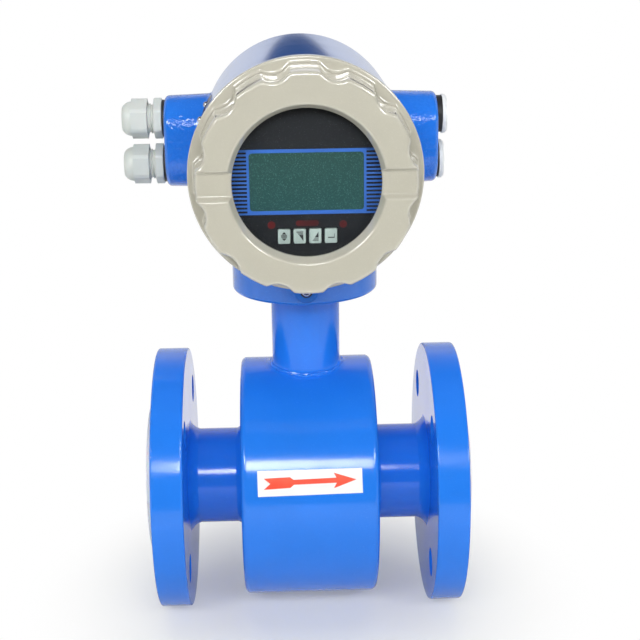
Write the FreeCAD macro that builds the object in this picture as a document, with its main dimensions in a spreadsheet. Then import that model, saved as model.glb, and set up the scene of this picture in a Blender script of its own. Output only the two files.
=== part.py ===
"""Compact electromagnetic flow meter, DN 50, with a round two-chamber transmitter head.

The origin is the middle of the measuring bore: +X is the direction of flow, the display
faces -Y and the head stands up along +Z.  All lengths are in millimetres.
"""
import FreeCAD, Part
import math
import os
from types import SimpleNamespace

import Sketcher
from FreeCAD import Placement, Rotation, Vector

# ---------------------------------------------------------------------------------------
# Driving dimensions
# ---------------------------------------------------------------------------------------
SIZES = {
    # flow tube
    "face_length": 200.0,          # installed length between the two liner flares
    "flare_thick": 3.4,            # liner flare that seals against the pipeline
    "flare_radius": 46.0,
    "raised_face_thick": 2.0,
    "raised_face_radius": 51.0,
    "flange_radius": 82.5,
    "flange_thick": 19.3,          # rim of the flange, without its raised face
    "flange_edge": 1.2,            # rounding of the flange rim
    "bolt_circle_radius": 62.5,
    "bolt_hole_radius": 9.0,
    "pipe_radius": 30.15,
    "pipe_wall": 2.9,
    "liner_wall": 3.0,
    "weld_leg": 6.0,               # fillet weld between pipe and flange
    # coil housing
    "shell_radius": 75.6,
    "shell_wall": 3.0,
    "shell_length": 82.8,
    "shell_end_thick": 4.5,
    "shell_edge": 3.5,             # rounding of the shell's two ends
    "shell_weld": 4.0,
    # magnet
    "yoke_radius": 58.0,           # inside of the return ring
    "yoke_wall": 4.0,
    "yoke_length": 56.0,
    "shoe_thick": 4.0,
    "shoe_width": 44.0,
    "core_radius": 14.6,
    "coil_radius": 28.0,
    "coil_gap": 0.2,               # play of a coil on its core and under the yoke
    # electrodes
    "electrode_radius": 2.5,
    "electrode_head_radius": 5.0,
    "electrode_recess": 0.2,       # head face behind the bore wall
    "electrode_head_thick": 1.6,
    "electrode_reach": 47.0,       # end of the threaded stem, from the flow axis
    "boss_radius": 10.0,
    "boss_reach": 36.0,
    "bush_collar": 8.0,
    "bush_collar_thick": 2.0,
    "electrode_nut_radius": 4.6,
    "electrode_nut_thick": 4.0,
    # neck
    "neck_radius": 21.2,
    "neck_wall": 3.2,
    "neck_weld": 5.0,
    "collar_radius": 36.0,
    "collar_length": 22.0,
    "collar_drop": 62.0,           # top of the swivel collar below the head's axis
    "collar_lip": 6.0,             # rim over the end of the neck tube
    "swivel_clearance": 0.06,      # running fit between head and collar
    "lock_groove_width": 6.0,
    "lock_groove_depth": 3.6,
    "collar_seal_section": 2.6,
    "collar_seal_depth": 6.0,      # middle of the seal below the collar's top
    # head housing, measured from the axis of the head
    "head_height": 210.0,
    "drum_radius": 63.3,
    "drum_front": 80.0,
    "drum_rear": 80.0,
    "front_seat_radius": 58.3,     # threaded seats of the two screwed covers
    "rear_seat_radius": 56.3,
    "seat_depth": 14.0,
    "chamber_step": 2.3,           # chamber wall inside the threaded seat
    "partition_front": 18.0,
    "partition_thick": 6.0,
    "skirt_radius": 44.6,
    "skirt_drop": 85.4,            # lower end of the skirt below the head's axis
    "skirt_edge": 2.5,
    "lead_hole_radius": 16.0,
    "partition_hole_radius": 7.0,
    "partition_hole_height": 40.0,
    "box_reach": 85.7,             # end face of each conduit box, from the middle
    "box_middle": 47.0,            # conduit boxes stand this far behind the middle
    "box_depth": 42.0,
    "box_tall": 57.0,
    "box_corner": 20.0,
    "box_draft": 2.0,              # degrees
    "box_edge": 3.0,
    "box_wall": 5.0,
    "box_end_wall": 12.0,
    "entry_pitch": 28.8,
    "entry_radius": 10.0,
    "cast_fillet": 4.0,
    # swivel lock screws
    "lock_depth": 14.7,            # lock screws below the collar's top
    "lock_shank_radius": 2.5,
    "lock_head_radius": 2.7,
    "lock_head_thick": 2.2,
    "lock_washer_radius": 3.7,
    "lock_washer_thick": 0.9,
    "lock_tip_clearance": 0.6,
    "spot_face_radius": 7.0,
    "spot_face_flat": 44.0,
    # screwed covers
    "cover_radius": 64.7,
    "cover_flange_thick": 6.5,
    "ring_base_radius": 60.8,
    "ring_front_radius": 59.3,
    "ring_height": 28.5,           # raised grip ring in front of the cover's flange
    "ring_edge": 3.0,
    "window_radius": 39.85,
    "bevel_radius": 42.5,
    "bevel_depth": 5.7,
    "window_lip": 2.0,
    "glass_seat_radius": 46.3,
    "cover_cavity_radius": 52.0,
    "cover_cavity_front": 14.0,    # start of the wide cavity in front of the flange's seat
    "spigot_length": 12.0,
    "thread_clearance": 0.3,
    "seal_groove_width": 2.4,
    "seal_groove_depth": 2.2,
    "seal_play": 0.3,              # all round a seal in its groove
    "scallop_radius": 9.0,
    "scallop_reach": 65.0,         # centre of each finger scallop
    "scallop_corner": 4.0,
    "slot_width": 12.5,
    "slot_depth": 4.5,
    "slot_edge": 2.0,
    "rear_cover_radius": 61.0,
    "rear_cover_thick": 5.0,
    "rear_ring_radius": 56.5,
    "rear_ring_height": 12.0,
    "rear_cover_wall": 5.0,
    # window
    "gasket_thick": 1.0,
    "gasket_bore": 41.5,
    "glass_thick": 5.0,
    "glass_clearance": 0.3,
    "retainer_thick": 4.0,
    "retainer_bore": 42.6,
    # display
    "panel_front": 100.4,
    "panel_radius": 42.0,
    "panel_thick": 3.0,
    "panel_rim": 12.0,
    "panel_wall": 2.0,
    "lcd_width": 61.5,
    "lcd_tall": 31.0,
    "lcd_corner": 2.3,
    "lcd_drop": 1.1,
    "lcd_recess": 0.5,
    "lcd_frame": 4.0,
    "key_width": 6.5,
    "key_tall": 7.9,
    "key_corner": 0.7,
    "key_pitch": 8.42,
    "key_drop": 29.9,
    "key_stand": 0.9,
    "key_gap": 0.3,
    "key_collar": 1.0,
    "key_collar_thick": 1.0,
    "lamp_radius": 2.1,
    "lamp_reach": 19.3,
    "lamp_drop": 23.7,
    "beam_length": 12.5,
    "beam_tall": 3.0,
    "beam_drop": 22.9,
    # electronics
    "board_thick": 1.6,
    "board_radius": 50.0,
    "display_board_radius": 39.5,
    "post_radius": 4.0,
    "post_length": 12.0,
    "post_circle": 43.0,
    "spacer_radius": 3.0,
    "spacer_circle": 34.0,
    "spacer_length": 22.0,
    "board_screw_radius": 2.8,
    "board_screw_thick": 1.8,
    "transformer_size": 29.3,
    "transformer_tall": 14.7,
    "transformer_drop": 7.3,
    # terminals
    "terminal_width": 66.0,
    "terminal_depth": 16.0,
    "terminal_tall": 13.0,
    "terminal_step": 5.0,
    "terminal_height": 8.0,
    "terminal_pitch": 6.2,
    "terminal_screw_radius": 1.9,
    "terminal_screw_thick": 0.8,
    # cable glands and blanking plugs
    "gland_flats": 23.0,
    "gland_corner": 0.7,
    "gland_gasket_radius": 11.6,
    "gland_gasket_thick": 1.8,
    "gland_hex_thick": 5.2,
    "gland_gap": 4.0,              # thread left open between collar and nut
    "gland_thread_radius": 9.6,
    "gland_thread_length": 9.0,
    "gland_claw_radius": 8.4,
    "gland_claw_length": 5.0,
    "gland_bore": 6.3,
    "gland_seal_wall": 1.6,
    "gland_seal_bore": 6.5,
    "gland_seal_sunk": 2.0,        # foot of the seal below the claws' foot
    "gland_seal_proud": 0.5,       # lip of the seal beyond the claws
    "gland_nut_hex": 10.0,
    "gland_nut_dome": 6.0,
    "gland_nut_bore": 6.9,
    "gland_nut_rim": 0.6,          # flat left round the mouth of the dome
    "entry_clearance": 0.15,
    "shank_length": 9.0,
    "plug_radius": 12.3,
    "plug_thick": 3.0,
    "plug_dish": 0.8,
    "plug_slot": 2.0,
    "plug_edge": 1.0,
    "plug_dish_radius": 8.6,
}


class Size:
    """A number together with the sheet expression that gives it."""

    def __init__(self, value, text):
        self.value = value
        self.text = text

    def __add__(self, other):
        other = as_size(other)
        return Size(self.value + other.value, f"({self.text} + {other.text})")

    def __sub__(self, other):
        other = as_size(other)
        return Size(self.value - other.value, f"({self.text} - {other.text})")

    def __mul__(self, other):
        other = as_size(other)
        return Size(self.value * other.value, f"({self.text} * {other.text})")

    def __truediv__(self, other):
        other = as_size(other)
        return Size(self.value / other.value, f"({self.text} / {other.text})")

    def __neg__(self):
        return Size(-self.value, f"(0 - {self.text})")


def as_size(number):
    """Wraps a plain number so that it can stand beside bound sizes."""
    if isinstance(number, Size):
        return number
    return Size(float(number), repr(number))


def root(size):
    """Square root of a size."""
    return Size(math.sqrt(size.value), f"sqrt({size.text})")


def chord_height(radius, offset):
    """Height of a round surface over its axis at a sideways offset."""
    return root(radius * radius - offset * offset)


doc = FreeCAD.newDocument("flow_meter")
sheet = doc.addObject("Spreadsheet::Sheet", "Dims")
for row, (alias, number) in enumerate(SIZES.items(), start=1):
    sheet.set(f"A{row}", alias.replace("_", " "))
    sheet.set(f"B{row}", str(number))
    sheet.setAlias(f"B{row}", alias)
doc.recompute()
d = SimpleNamespace(**{alias: Size(number, f"Dims.{alias}") for alias, number in SIZES.items()})

ZERO = as_size(0)
X_AXIS, Y_AXIS, Z_AXIS = "X", "Y", "Z"
TURN = {
    X_AXIS: Rotation(Vector(0, 1, 0), 90),
    Y_AXIS: Rotation(Vector(1, 0, 0), -90),
    Z_AXIS: Rotation(),
}
nodes = {}


# ---------------------------------------------------------------------------------------
# Small drawing helpers
# ---------------------------------------------------------------------------------------
def bind(thing, prop, size):
    """Ties one property to its size."""
    thing.setExpression(prop, as_size(size).text)


def place(thing, position, rotation=None):
    """Puts an object at a bound position."""
    values = [as_size(size).value for size in position]
    thing.Placement = Placement(Vector(*values), rotation or Rotation())
    for letter, size in zip("xyz", position):
        bind(thing, f"Placement.Base.{letter}", size)


def keep(thing, label):
    """Registers a finished piece under the name of its node."""
    thing.Label = label
    nodes[label] = thing
    return thing


def box(name, low, high):
    """Block between two corners."""
    block = doc.addObject("Part::Box", name)
    for prop, start, end in zip(("Length", "Width", "Height"), low, high):
        bind(block, prop, as_size(end) - start)
    place(block, low)
    return block


def cylinder(name, axis, start, length, radius, centre=(ZERO, ZERO)):
    """Round bar along an axis; centre gives the two other coordinates in order."""
    bar = doc.addObject("Part::Cylinder", name)
    bind(bar, "Radius", radius)
    bind(bar, "Height", length)
    position = list(centre)
    position.insert("XYZ".index(axis), start)
    place(bar, position, TURN[axis])
    return bar


def tube(name, axis, start, length, outer, inner, centre=(ZERO, ZERO)):
    """Round tube along an axis."""
    outside = cylinder(f"{name}_outside", axis, start, length, outer, centre)
    inside = cylinder(f"{name}_inside", axis, start, length, inner, centre)
    return cut(name, outside, inside)


def hexagon(name, axis, start, length, corner_radius, centre=(ZERO, ZERO)):
    """Plain hexagonal bar along an axis, given the radius over its corners."""
    prism = doc.addObject("Part::Prism", name)
    prism.Polygon = 6
    bind(prism, "Circumradius", corner_radius)
    bind(prism, "Height", length)
    position = list(centre)
    position.insert("XYZ".index(axis), start)
    place(prism, position, TURN[axis])
    return prism


def hexagon_bar(name, start, length, flats, corner, centre):
    """Hexagonal bar along X with softened corners and one flat towards the front."""
    prism = hexagon(f"{name}_prism", X_AXIS, start, length, flats / math.sqrt(3), centre)
    rounding = cylinder(f"{name}_rounding", X_AXIS, start, length, flats / math.sqrt(3) - corner, centre)
    return common(name, prism, rounding)


def cut(name, base, tool):
    """Takes one solid out of another."""
    result = doc.addObject("Part::Cut", name)
    result.Base = base
    result.Tool = tool
    return result


def fuse(name, *pieces):
    """Joins solids."""
    result = doc.addObject("Part::MultiFuse", name)
    result.Shapes = list(pieces)
    return result


def common(name, *pieces):
    """Keeps what all solids share."""
    result = doc.addObject("Part::MultiCommon", name)
    result.Shapes = list(pieces)
    return result


def group(name, *pieces):
    """Gathers like, separate solids in one node."""
    result = doc.addObject("Part::Compound", name)
    result.Links = list(pieces)
    return result


def new_body(label, position=(ZERO, ZERO, ZERO), rotation=None):
    """Starts a PartDesign body at a bound place."""
    body = doc.addObject("PartDesign::Body", label)
    place(body, position, rotation)
    return body


def new_sketch(body, plane, offset=ZERO):
    """Attaches an empty sketch to one of the body's own origin planes."""
    sketch = body.newObject("Sketcher::SketchObject", f"{body.Name}_sketch")
    support = next(item for item in body.Origin.OriginFeatures if item.Role == plane)
    sketch.AttachmentSupport = [(support, "")]
    sketch.MapMode = "FlatFace"
    bind(sketch, "AttachmentOffset.Base.z", offset)
    return sketch


def pin_point(sketch, geometry, end, corner):
    """Holds one end of a line or arc at a bound corner."""
    for kind, size in zip(("DistanceX", "DistanceY"), corner):
        number = sketch.addConstraint(Sketcher.Constraint(kind, -1, 1, geometry, end, size.value))
        bind(sketch, f"Constraints[{number}]", size)


def arc_between(start, end, radius, left):
    """Arc from start to end, bulging to the right of the way when its centre lies left."""
    middle = (start + end) / 2
    way = (end - start).normalize()
    side = Vector(-way.y, way.x, 0)
    reach = math.sqrt(max(radius ** 2 - (end - start).Length ** 2 / 4, 0))
    centre = middle + side * (reach if left else -reach)
    circle = Part.Circle(centre, Vector(0, 0, 1), radius)
    first, last = (start, end) if left else (end, start)
    return Part.ArcOfCircle(circle, circle.parameter(first), circle.parameter(last))


def outline(sketch, corners, arcs=None):
    """Closed outline through bound corners.

    arcs maps the number of a stretch to (radius, centre_left); the other stretches are straight.
    """
    arcs = arcs or {}
    corners = [(as_size(across), as_size(up)) for across, up in corners]
    points = [Vector(across.value, up.value, 0) for across, up in corners]
    first = sketch.GeometryCount
    ends = []
    for number, start in enumerate(points):
        end = points[(number + 1) % len(points)]
        if number in arcs:
            radius, left = arcs[number]
            sketch.addGeometry(arc_between(start, end, as_size(radius).value, left))
            ends.append((1, 2) if left else (2, 1))
        else:
            sketch.addGeometry(Part.LineSegment(start, end))
            ends.append((1, 2))
    for number in range(len(points)):
        following = (number + 1) % len(points)
        sketch.addConstraint(Sketcher.Constraint(
            "Coincident", first + number, ends[number][1], first + following, ends[following][0]))
    for number, corner in enumerate(corners):
        pin_point(sketch, first + number, ends[number][0], corner)
    for number, (radius, _) in arcs.items():
        radius = as_size(radius)
        constraint = sketch.addConstraint(Sketcher.Constraint("Radius", first + number, radius.value))
        bind(sketch, f"Constraints[{constraint}]", radius)
    return sketch


def rounded_corners(half_width, half_height, corner, middle=(ZERO, ZERO)):
    """Corners and arcs of a rectangle with round corners, anticlockwise."""
    across, up = (as_size(size) for size in middle)
    half_width, half_height, corner = (as_size(size) for size in (half_width, half_height, corner))
    inner_width = half_width - corner
    inner_height = half_height - corner
    corners = [
        (across - inner_width, up - half_height),
        (across + inner_width, up - half_height),
        (across + half_width, up - inner_height),
        (across + half_width, up + inner_height),
        (across + inner_width, up + half_height),
        (across - inner_width, up + half_height),
        (across - half_width, up + inner_height),
        (across - half_width, up - inner_height),
    ]
    arcs = {number: (corner, True) for number in (1, 3, 5, 7)}
    return corners, arcs


def circles(sketch, *places):
    """Adds bound circles, each given as (across, up, radius)."""
    for across, up, radius in places:
        across, up, radius = (as_size(size) for size in (across, up, radius))
        middle = Vector(across.value, up.value, 0)
        number = sketch.addGeometry(Part.Circle(middle, Vector(0, 0, 1), radius.value))
        pin_point(sketch, number, 3, (across, up))
        constraint = sketch.addConstraint(Sketcher.Constraint("Radius", number, radius.value))
        bind(sketch, f"Constraints[{constraint}]", radius)
    return sketch


def revolve(body, sketch, axis="V_Axis", kind="Revolution"):
    """Full turn of a sketch about one of its own axes."""
    feature = body.newObject(f"PartDesign::{kind}", f"{body.Name}_{kind.lower()}")
    feature.Profile = sketch
    feature.ReferenceAxis = (sketch, [axis])
    feature.Angle = 360
    return feature


def extrude(body, sketch, length, kind="Pad", reverse=False, both_ways=False):
    """Pad or pocket of a sketch."""
    feature = body.newObject(f"PartDesign::{kind}", f"{body.Name}_{kind.lower()}")
    feature.Profile = sketch
    feature.Reversed = reverse
    if both_ways:
        feature.SideType = "Symmetric"
    bind(feature, "Length", length)
    return feature


def round_edges(body, base, radius, chosen):
    """Fillet on the edges of base that the test picks out."""
    doc.recompute()
    names = [f"Edge{number}" for number, edge in enumerate(base.Shape.Edges, start=1) if chosen(edge)]
    feature = body.newObject("PartDesign::Fillet", f"{body.Name}_fillet")
    feature.Base = (base, names)
    bind(feature, "Radius", radius)
    return feature


def polar(body, feature, role, count):
    """Full-circle pattern of a feature about one of the body's origin axes."""
    doc.recompute()
    pattern = body.newObject("PartDesign::PolarPattern", f"{body.Name}_polar")
    axis = next(item for item in body.Origin.OriginFeatures if item.Role == role)
    pattern.Originals = [feature]
    pattern.Axis = (axis, [""])
    pattern.Angle = 360
    pattern.Occurrences = count
    body.Tip = pattern
    return pattern


def turned(label, axis, corners, arcs=None, position=(ZERO, ZERO, ZERO), rotation=None):
    """Turned part: the outline's numbers are (along, radius) for X and (radius, along) for Y and Z."""
    body = new_body(label, position, rotation)
    plane = "XZ_Plane" if axis == Z_AXIS else "XY_Plane"
    sketch = outline(new_sketch(body, plane), corners, arcs)
    revolve(body, sketch, "H_Axis" if axis == X_AXIS else "V_Axis")
    return body


def ring_corners(inner, outer, low, high):
    """Rectangle of a plain ring, for a part turned about Y or Z."""
    return [(inner, low), (outer, low), (outer, high), (inner, high)]


OVERRUN = 1                        # how far a cutter starts outside the solid
WELD_HOLLOW = 1.6                  # radius of a fillet weld's hollow face over its leg
HEAD = (ZERO, ZERO, d.head_height)
BACK_TO_FRONT = Rotation(Vector(0, 0, 1), 180)


# ---------------------------------------------------------------------------------------
# Flow tube: pipe, flanges and liner
# ---------------------------------------------------------------------------------------
face_half = d.face_length / 2
pipe_half = face_half - d.flare_thick
rim_face = pipe_half - d.raised_face_thick
rim_back = rim_face - d.flange_thick
pipe_bore = d.pipe_radius - d.pipe_wall
liner_bore = pipe_bore - d.liner_wall


def make_measuring_tube():
    """Stainless pipe with the two electrode holes across it."""
    body = new_body("measuring_tube")
    sketch = outline(new_sketch(body, "XY_Plane"), [
        (-pipe_half, pipe_bore), (pipe_half, pipe_bore),
        (pipe_half, d.pipe_radius), (-pipe_half, d.pipe_radius)])
    revolve(body, sketch, "H_Axis")
    hole = circles(new_sketch(body, "XZ_Plane"), (ZERO, ZERO, d.electrode_head_radius))
    extrude(body, hole, d.pipe_radius * 3, "Pocket", both_ways=True)
    keep(body, "measuring_tube")


def make_flange(label, rotation):
    """Slip-on flange with raised face, four bolt holes astride the centre lines and its weld."""
    body = new_body(label, rotation=rotation)
    weld_top = d.pipe_radius + d.weld_leg
    sketch = outline(new_sketch(body, "XY_Plane"), [
        (pipe_half, d.pipe_radius),
        (pipe_half, d.raised_face_radius),
        (rim_face, d.raised_face_radius),
        (rim_face, d.flange_radius - d.flange_edge),
        (rim_face - d.flange_edge, d.flange_radius),
        (rim_back + d.flange_edge, d.flange_radius),
        (rim_back, d.flange_radius - d.flange_edge),
        (rim_back, weld_top),
        (rim_back - d.weld_leg, d.pipe_radius),
    ], {3: (d.flange_edge, True), 5: (d.flange_edge, True), 7: (d.weld_leg * WELD_HOLLOW, False)})
    revolve(body, sketch, "H_Axis")
    straddle = d.bolt_circle_radius * math.sqrt(0.5)
    hole = circles(new_sketch(body, "YZ_Plane", rim_back - OVERRUN),
                   (straddle, straddle, d.bolt_hole_radius))
    pocket = extrude(body, hole, pipe_half - rim_back + OVERRUN, "Pocket", reverse=True)
    polar(body, pocket, "X_Axis", 4)
    keep(body, label)


def make_liner():
    """Fluoropolymer liner flared over both raised faces, pierced for the electrode heads."""
    body = new_body("liner")
    sketch = outline(new_sketch(body, "XY_Plane"), [
        (-face_half, liner_bore), (face_half, liner_bore),
        (face_half, d.flare_radius), (pipe_half, d.flare_radius),
        (pipe_half, pipe_bore), (-pipe_half, pipe_bore),
        (-pipe_half, d.flare_radius), (-face_half, d.flare_radius)])
    revolve(body, sketch, "H_Axis")
    hole = circles(new_sketch(body, "XZ_Plane"), (ZERO, ZERO, d.electrode_head_radius))
    extrude(body, hole, d.pipe_radius * 3, "Pocket", both_ways=True)
    keep(body, "liner")


# ---------------------------------------------------------------------------------------
# Coil housing, magnet and electrodes
# ---------------------------------------------------------------------------------------
shell_half = d.shell_length / 2
shell_inner_half = shell_half - d.shell_end_thick


def make_coil_housing():
    """Rolled shell between two welded end plates."""
    sheet_metal = tube("coil_sheet", X_AXIS, -shell_inner_half, shell_inner_half * 2,
                       d.shell_radius, d.shell_radius - d.shell_wall)
    opening = cylinder("coil_sheet_opening", Z_AXIS, ZERO, d.shell_radius, d.neck_radius - d.neck_wall)
    keep(cut("coil_shell", sheet_metal, opening), "coil_shell")
    for label, rotation in (("inlet_end_plate", BACK_TO_FRONT), ("outlet_end_plate", None)):
        plate = turned(label, X_AXIS, [
            (shell_inner_half, d.pipe_radius),
            (shell_half + d.shell_weld, d.pipe_radius),
            (shell_half, d.pipe_radius + d.shell_weld),
            (shell_half, d.shell_radius - d.shell_edge),
            (shell_half - d.shell_edge, d.shell_radius),
            (shell_inner_half, d.shell_radius),
        ], {1: (d.shell_weld * WELD_HOLLOW, False), 3: (d.shell_edge, True)}, rotation=rotation)
        keep(plate, label)


def make_magnet():
    """Return ring, and above and below the pipe a pole piece with its wound coil."""
    yoke = tube("yoke", X_AXIS, -d.yoke_length / 2, d.yoke_length,
                d.yoke_radius + d.yoke_wall, d.yoke_radius)
    keep(yoke, "magnet_yoke")
    half = d.shoe_width / 2
    shoe_radius = d.pipe_radius + d.shoe_thick
    for label, side in (("upper", 1), ("lower", -1)):
        block = box(f"{label}_shoe_block", (-half, -half, ZERO), (half, half, d.yoke_radius))
        skin = cylinder(f"{label}_shoe_skin", X_AXIS, -half, half * 2, shoe_radius)
        shoe = common(f"{label}_shoe", block, skin)
        core = cylinder(f"{label}_core", Z_AXIS, d.pipe_radius / 2, d.yoke_radius, d.core_radius)
        raw = fuse(f"{label}_pole_raw", shoe, core)
        reach = cylinder(f"{label}_pole_reach", X_AXIS, -half, half * 2, d.yoke_radius)
        seat = cylinder(f"{label}_pole_seat", X_AXIS, -half * 1.1, half * 2.2, d.pipe_radius)
        pole = cut(f"{label}_pole_piece", common(f"{label}_pole_trim", raw, reach), seat)
        coil_low = shoe_radius + d.coil_gap
        coil_high = chord_height(d.yoke_radius, d.coil_radius) - d.coil_gap
        coil = tube(f"{label}_coil_winding", Z_AXIS, coil_low, coil_high - coil_low,
                    d.coil_radius, d.core_radius + d.coil_gap)
        if side < 0:
            turn = Placement(Vector(), Rotation(Vector(1, 0, 0), 180))
            pole.Placement = turn
            coil.Placement = turn
        keep(pole, f"{label}_pole_piece")
        keep(coil, f"{label}_coil")


def make_electrodes():
    """Measuring electrodes across the pipe, each with insulating bush, welded boss and nut."""
    head_face = liner_bore + d.electrode_recess
    bush_foot = head_face + d.electrode_head_thick
    bush_head = d.boss_reach + d.bush_collar_thick
    bushes = []
    bosses = []
    nuts = []
    for label, rotation in (("front", None), ("rear", BACK_TO_FRONT)):
        electrode = turned(f"{label}_electrode", Y_AXIS, [
            (ZERO, -d.electrode_reach), (d.electrode_radius, -d.electrode_reach),
            (d.electrode_radius, -bush_foot), (d.electrode_head_radius, -bush_foot),
            (d.electrode_head_radius, -head_face), (ZERO, -head_face)], rotation=rotation)
        keep(electrode, f"{label}_electrode")
        bushes.append(turned(f"{label}_bush", Y_AXIS, [
            (d.electrode_radius, -bush_head), (d.bush_collar, -bush_head),
            (d.bush_collar, -d.boss_reach), (d.electrode_head_radius, -d.boss_reach),
            (d.electrode_head_radius, -bush_foot), (d.electrode_radius, -bush_foot)], rotation=rotation))
        boss_body = turned(f"{label}_boss_blank", Y_AXIS, ring_corners(
            d.electrode_head_radius, d.boss_radius, -d.boss_reach, -d.pipe_radius / 2), rotation=rotation)
        saddle = cylinder(f"{label}_boss_saddle", X_AXIS, -d.boss_radius, d.boss_radius * 2, d.pipe_radius)
        bosses.append(cut(f"{label}_boss", boss_body, saddle))
        low = bush_head if rotation else -bush_head - d.electrode_nut_thick
        nut = hexagon(f"{label}_nut_blank", Y_AXIS, low, d.electrode_nut_thick, d.electrode_nut_radius)
        bore = cylinder(f"{label}_nut_bore", Y_AXIS, low, d.electrode_nut_thick, d.electrode_radius)
        nuts.append(cut(f"{label}_nut", nut, bore))
    keep(group("electrode_bushes", *bushes), "electrode_bushes")
    keep(group("electrode_bosses", *bosses), "electrode_bosses")
    keep(group("electrode_nuts", *nuts), "electrode_nuts")


# ---------------------------------------------------------------------------------------
# Neck and swivel collar
# ---------------------------------------------------------------------------------------
neck_bore = d.neck_radius - d.neck_wall
collar_top = d.head_height - d.collar_drop
collar_base = collar_top - d.collar_length
lock_height = collar_top - d.lock_depth
neck_top = collar_top - d.collar_lip


def make_neck():
    """Neck pipe set on the coil shell, with the fillet weld round its foot."""
    pipe = cylinder("neck_pipe", Z_AXIS, ZERO, neck_top, d.neck_radius)
    form = cylinder("neck_form", X_AXIS, -shell_half, d.shell_length, d.shell_radius)
    blank = fuse("neck_blank", pipe, form)
    doc.recompute()
    weld = doc.addObject("Part::Fillet", "neck_weld")
    weld.Base = blank
    foot = [number for number, edge in enumerate(blank.Shape.Edges, start=1)
            if d.neck_radius.value * 0.9 < edge.BoundBox.YMax < d.neck_radius.value * 1.1
            and edge.BoundBox.ZMax < d.shell_radius.value * 1.01]
    weld.Edges = [(number, d.neck_weld.value, d.neck_weld.value) for number in foot]
    saddle = cylinder("neck_saddle", X_AXIS, -shell_half * 1.1, d.shell_length * 1.1, d.shell_radius)
    flared = cut("neck_flared", weld, saddle)
    bore = cylinder("neck_bore", Z_AXIS, ZERO, neck_top, neck_bore)
    keep(cut("neck_tube", flared, bore), "neck_tube")


def make_collar():
    """Collar on the neck that the head turns on, with a lock groove and a seal groove."""
    groove_low = lock_height - d.lock_groove_width / 2
    groove_high = lock_height + d.lock_groove_width / 2
    seal_low = collar_top - d.collar_seal_depth - d.collar_seal_section / 2
    seal_high = seal_low + d.collar_seal_section
    seal_floor = d.collar_radius - d.collar_seal_section
    collar = turned("neck_collar", Z_AXIS, [
        (d.neck_radius, collar_base),
        (d.collar_radius, collar_base),
        (d.collar_radius, groove_low),
        (d.collar_radius - d.lock_groove_depth, groove_low),
        (d.collar_radius - d.lock_groove_depth, groove_high),
        (d.collar_radius, groove_high),
        (d.collar_radius, seal_low),
        (seal_floor, seal_low),
        (seal_floor, seal_high),
        (d.collar_radius, seal_high),
        (d.collar_radius, collar_top),
        (neck_bore, collar_top),
        (neck_bore, neck_top),
        (d.neck_radius, neck_top)])
    keep(collar, "neck_collar")
    seal = turned("collar_seal", Z_AXIS, ring_corners(seal_floor, d.collar_radius, seal_low, seal_high))
    keep(seal, "collar_seal")


# ---------------------------------------------------------------------------------------
# Head housing
# ---------------------------------------------------------------------------------------
partition_rear = d.partition_front + d.partition_thick
chamber_front_radius = d.front_seat_radius - d.chamber_step
chamber_rear_radius = d.rear_seat_radius - d.chamber_step
swivel_bore = d.collar_radius + d.swivel_clearance
swivel_seat = d.swivel_clearance - d.collar_drop


def near(value, target, slack=0.05):
    """Whether a measured length agrees with a wanted one."""
    return abs(value - target) < slack


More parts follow.
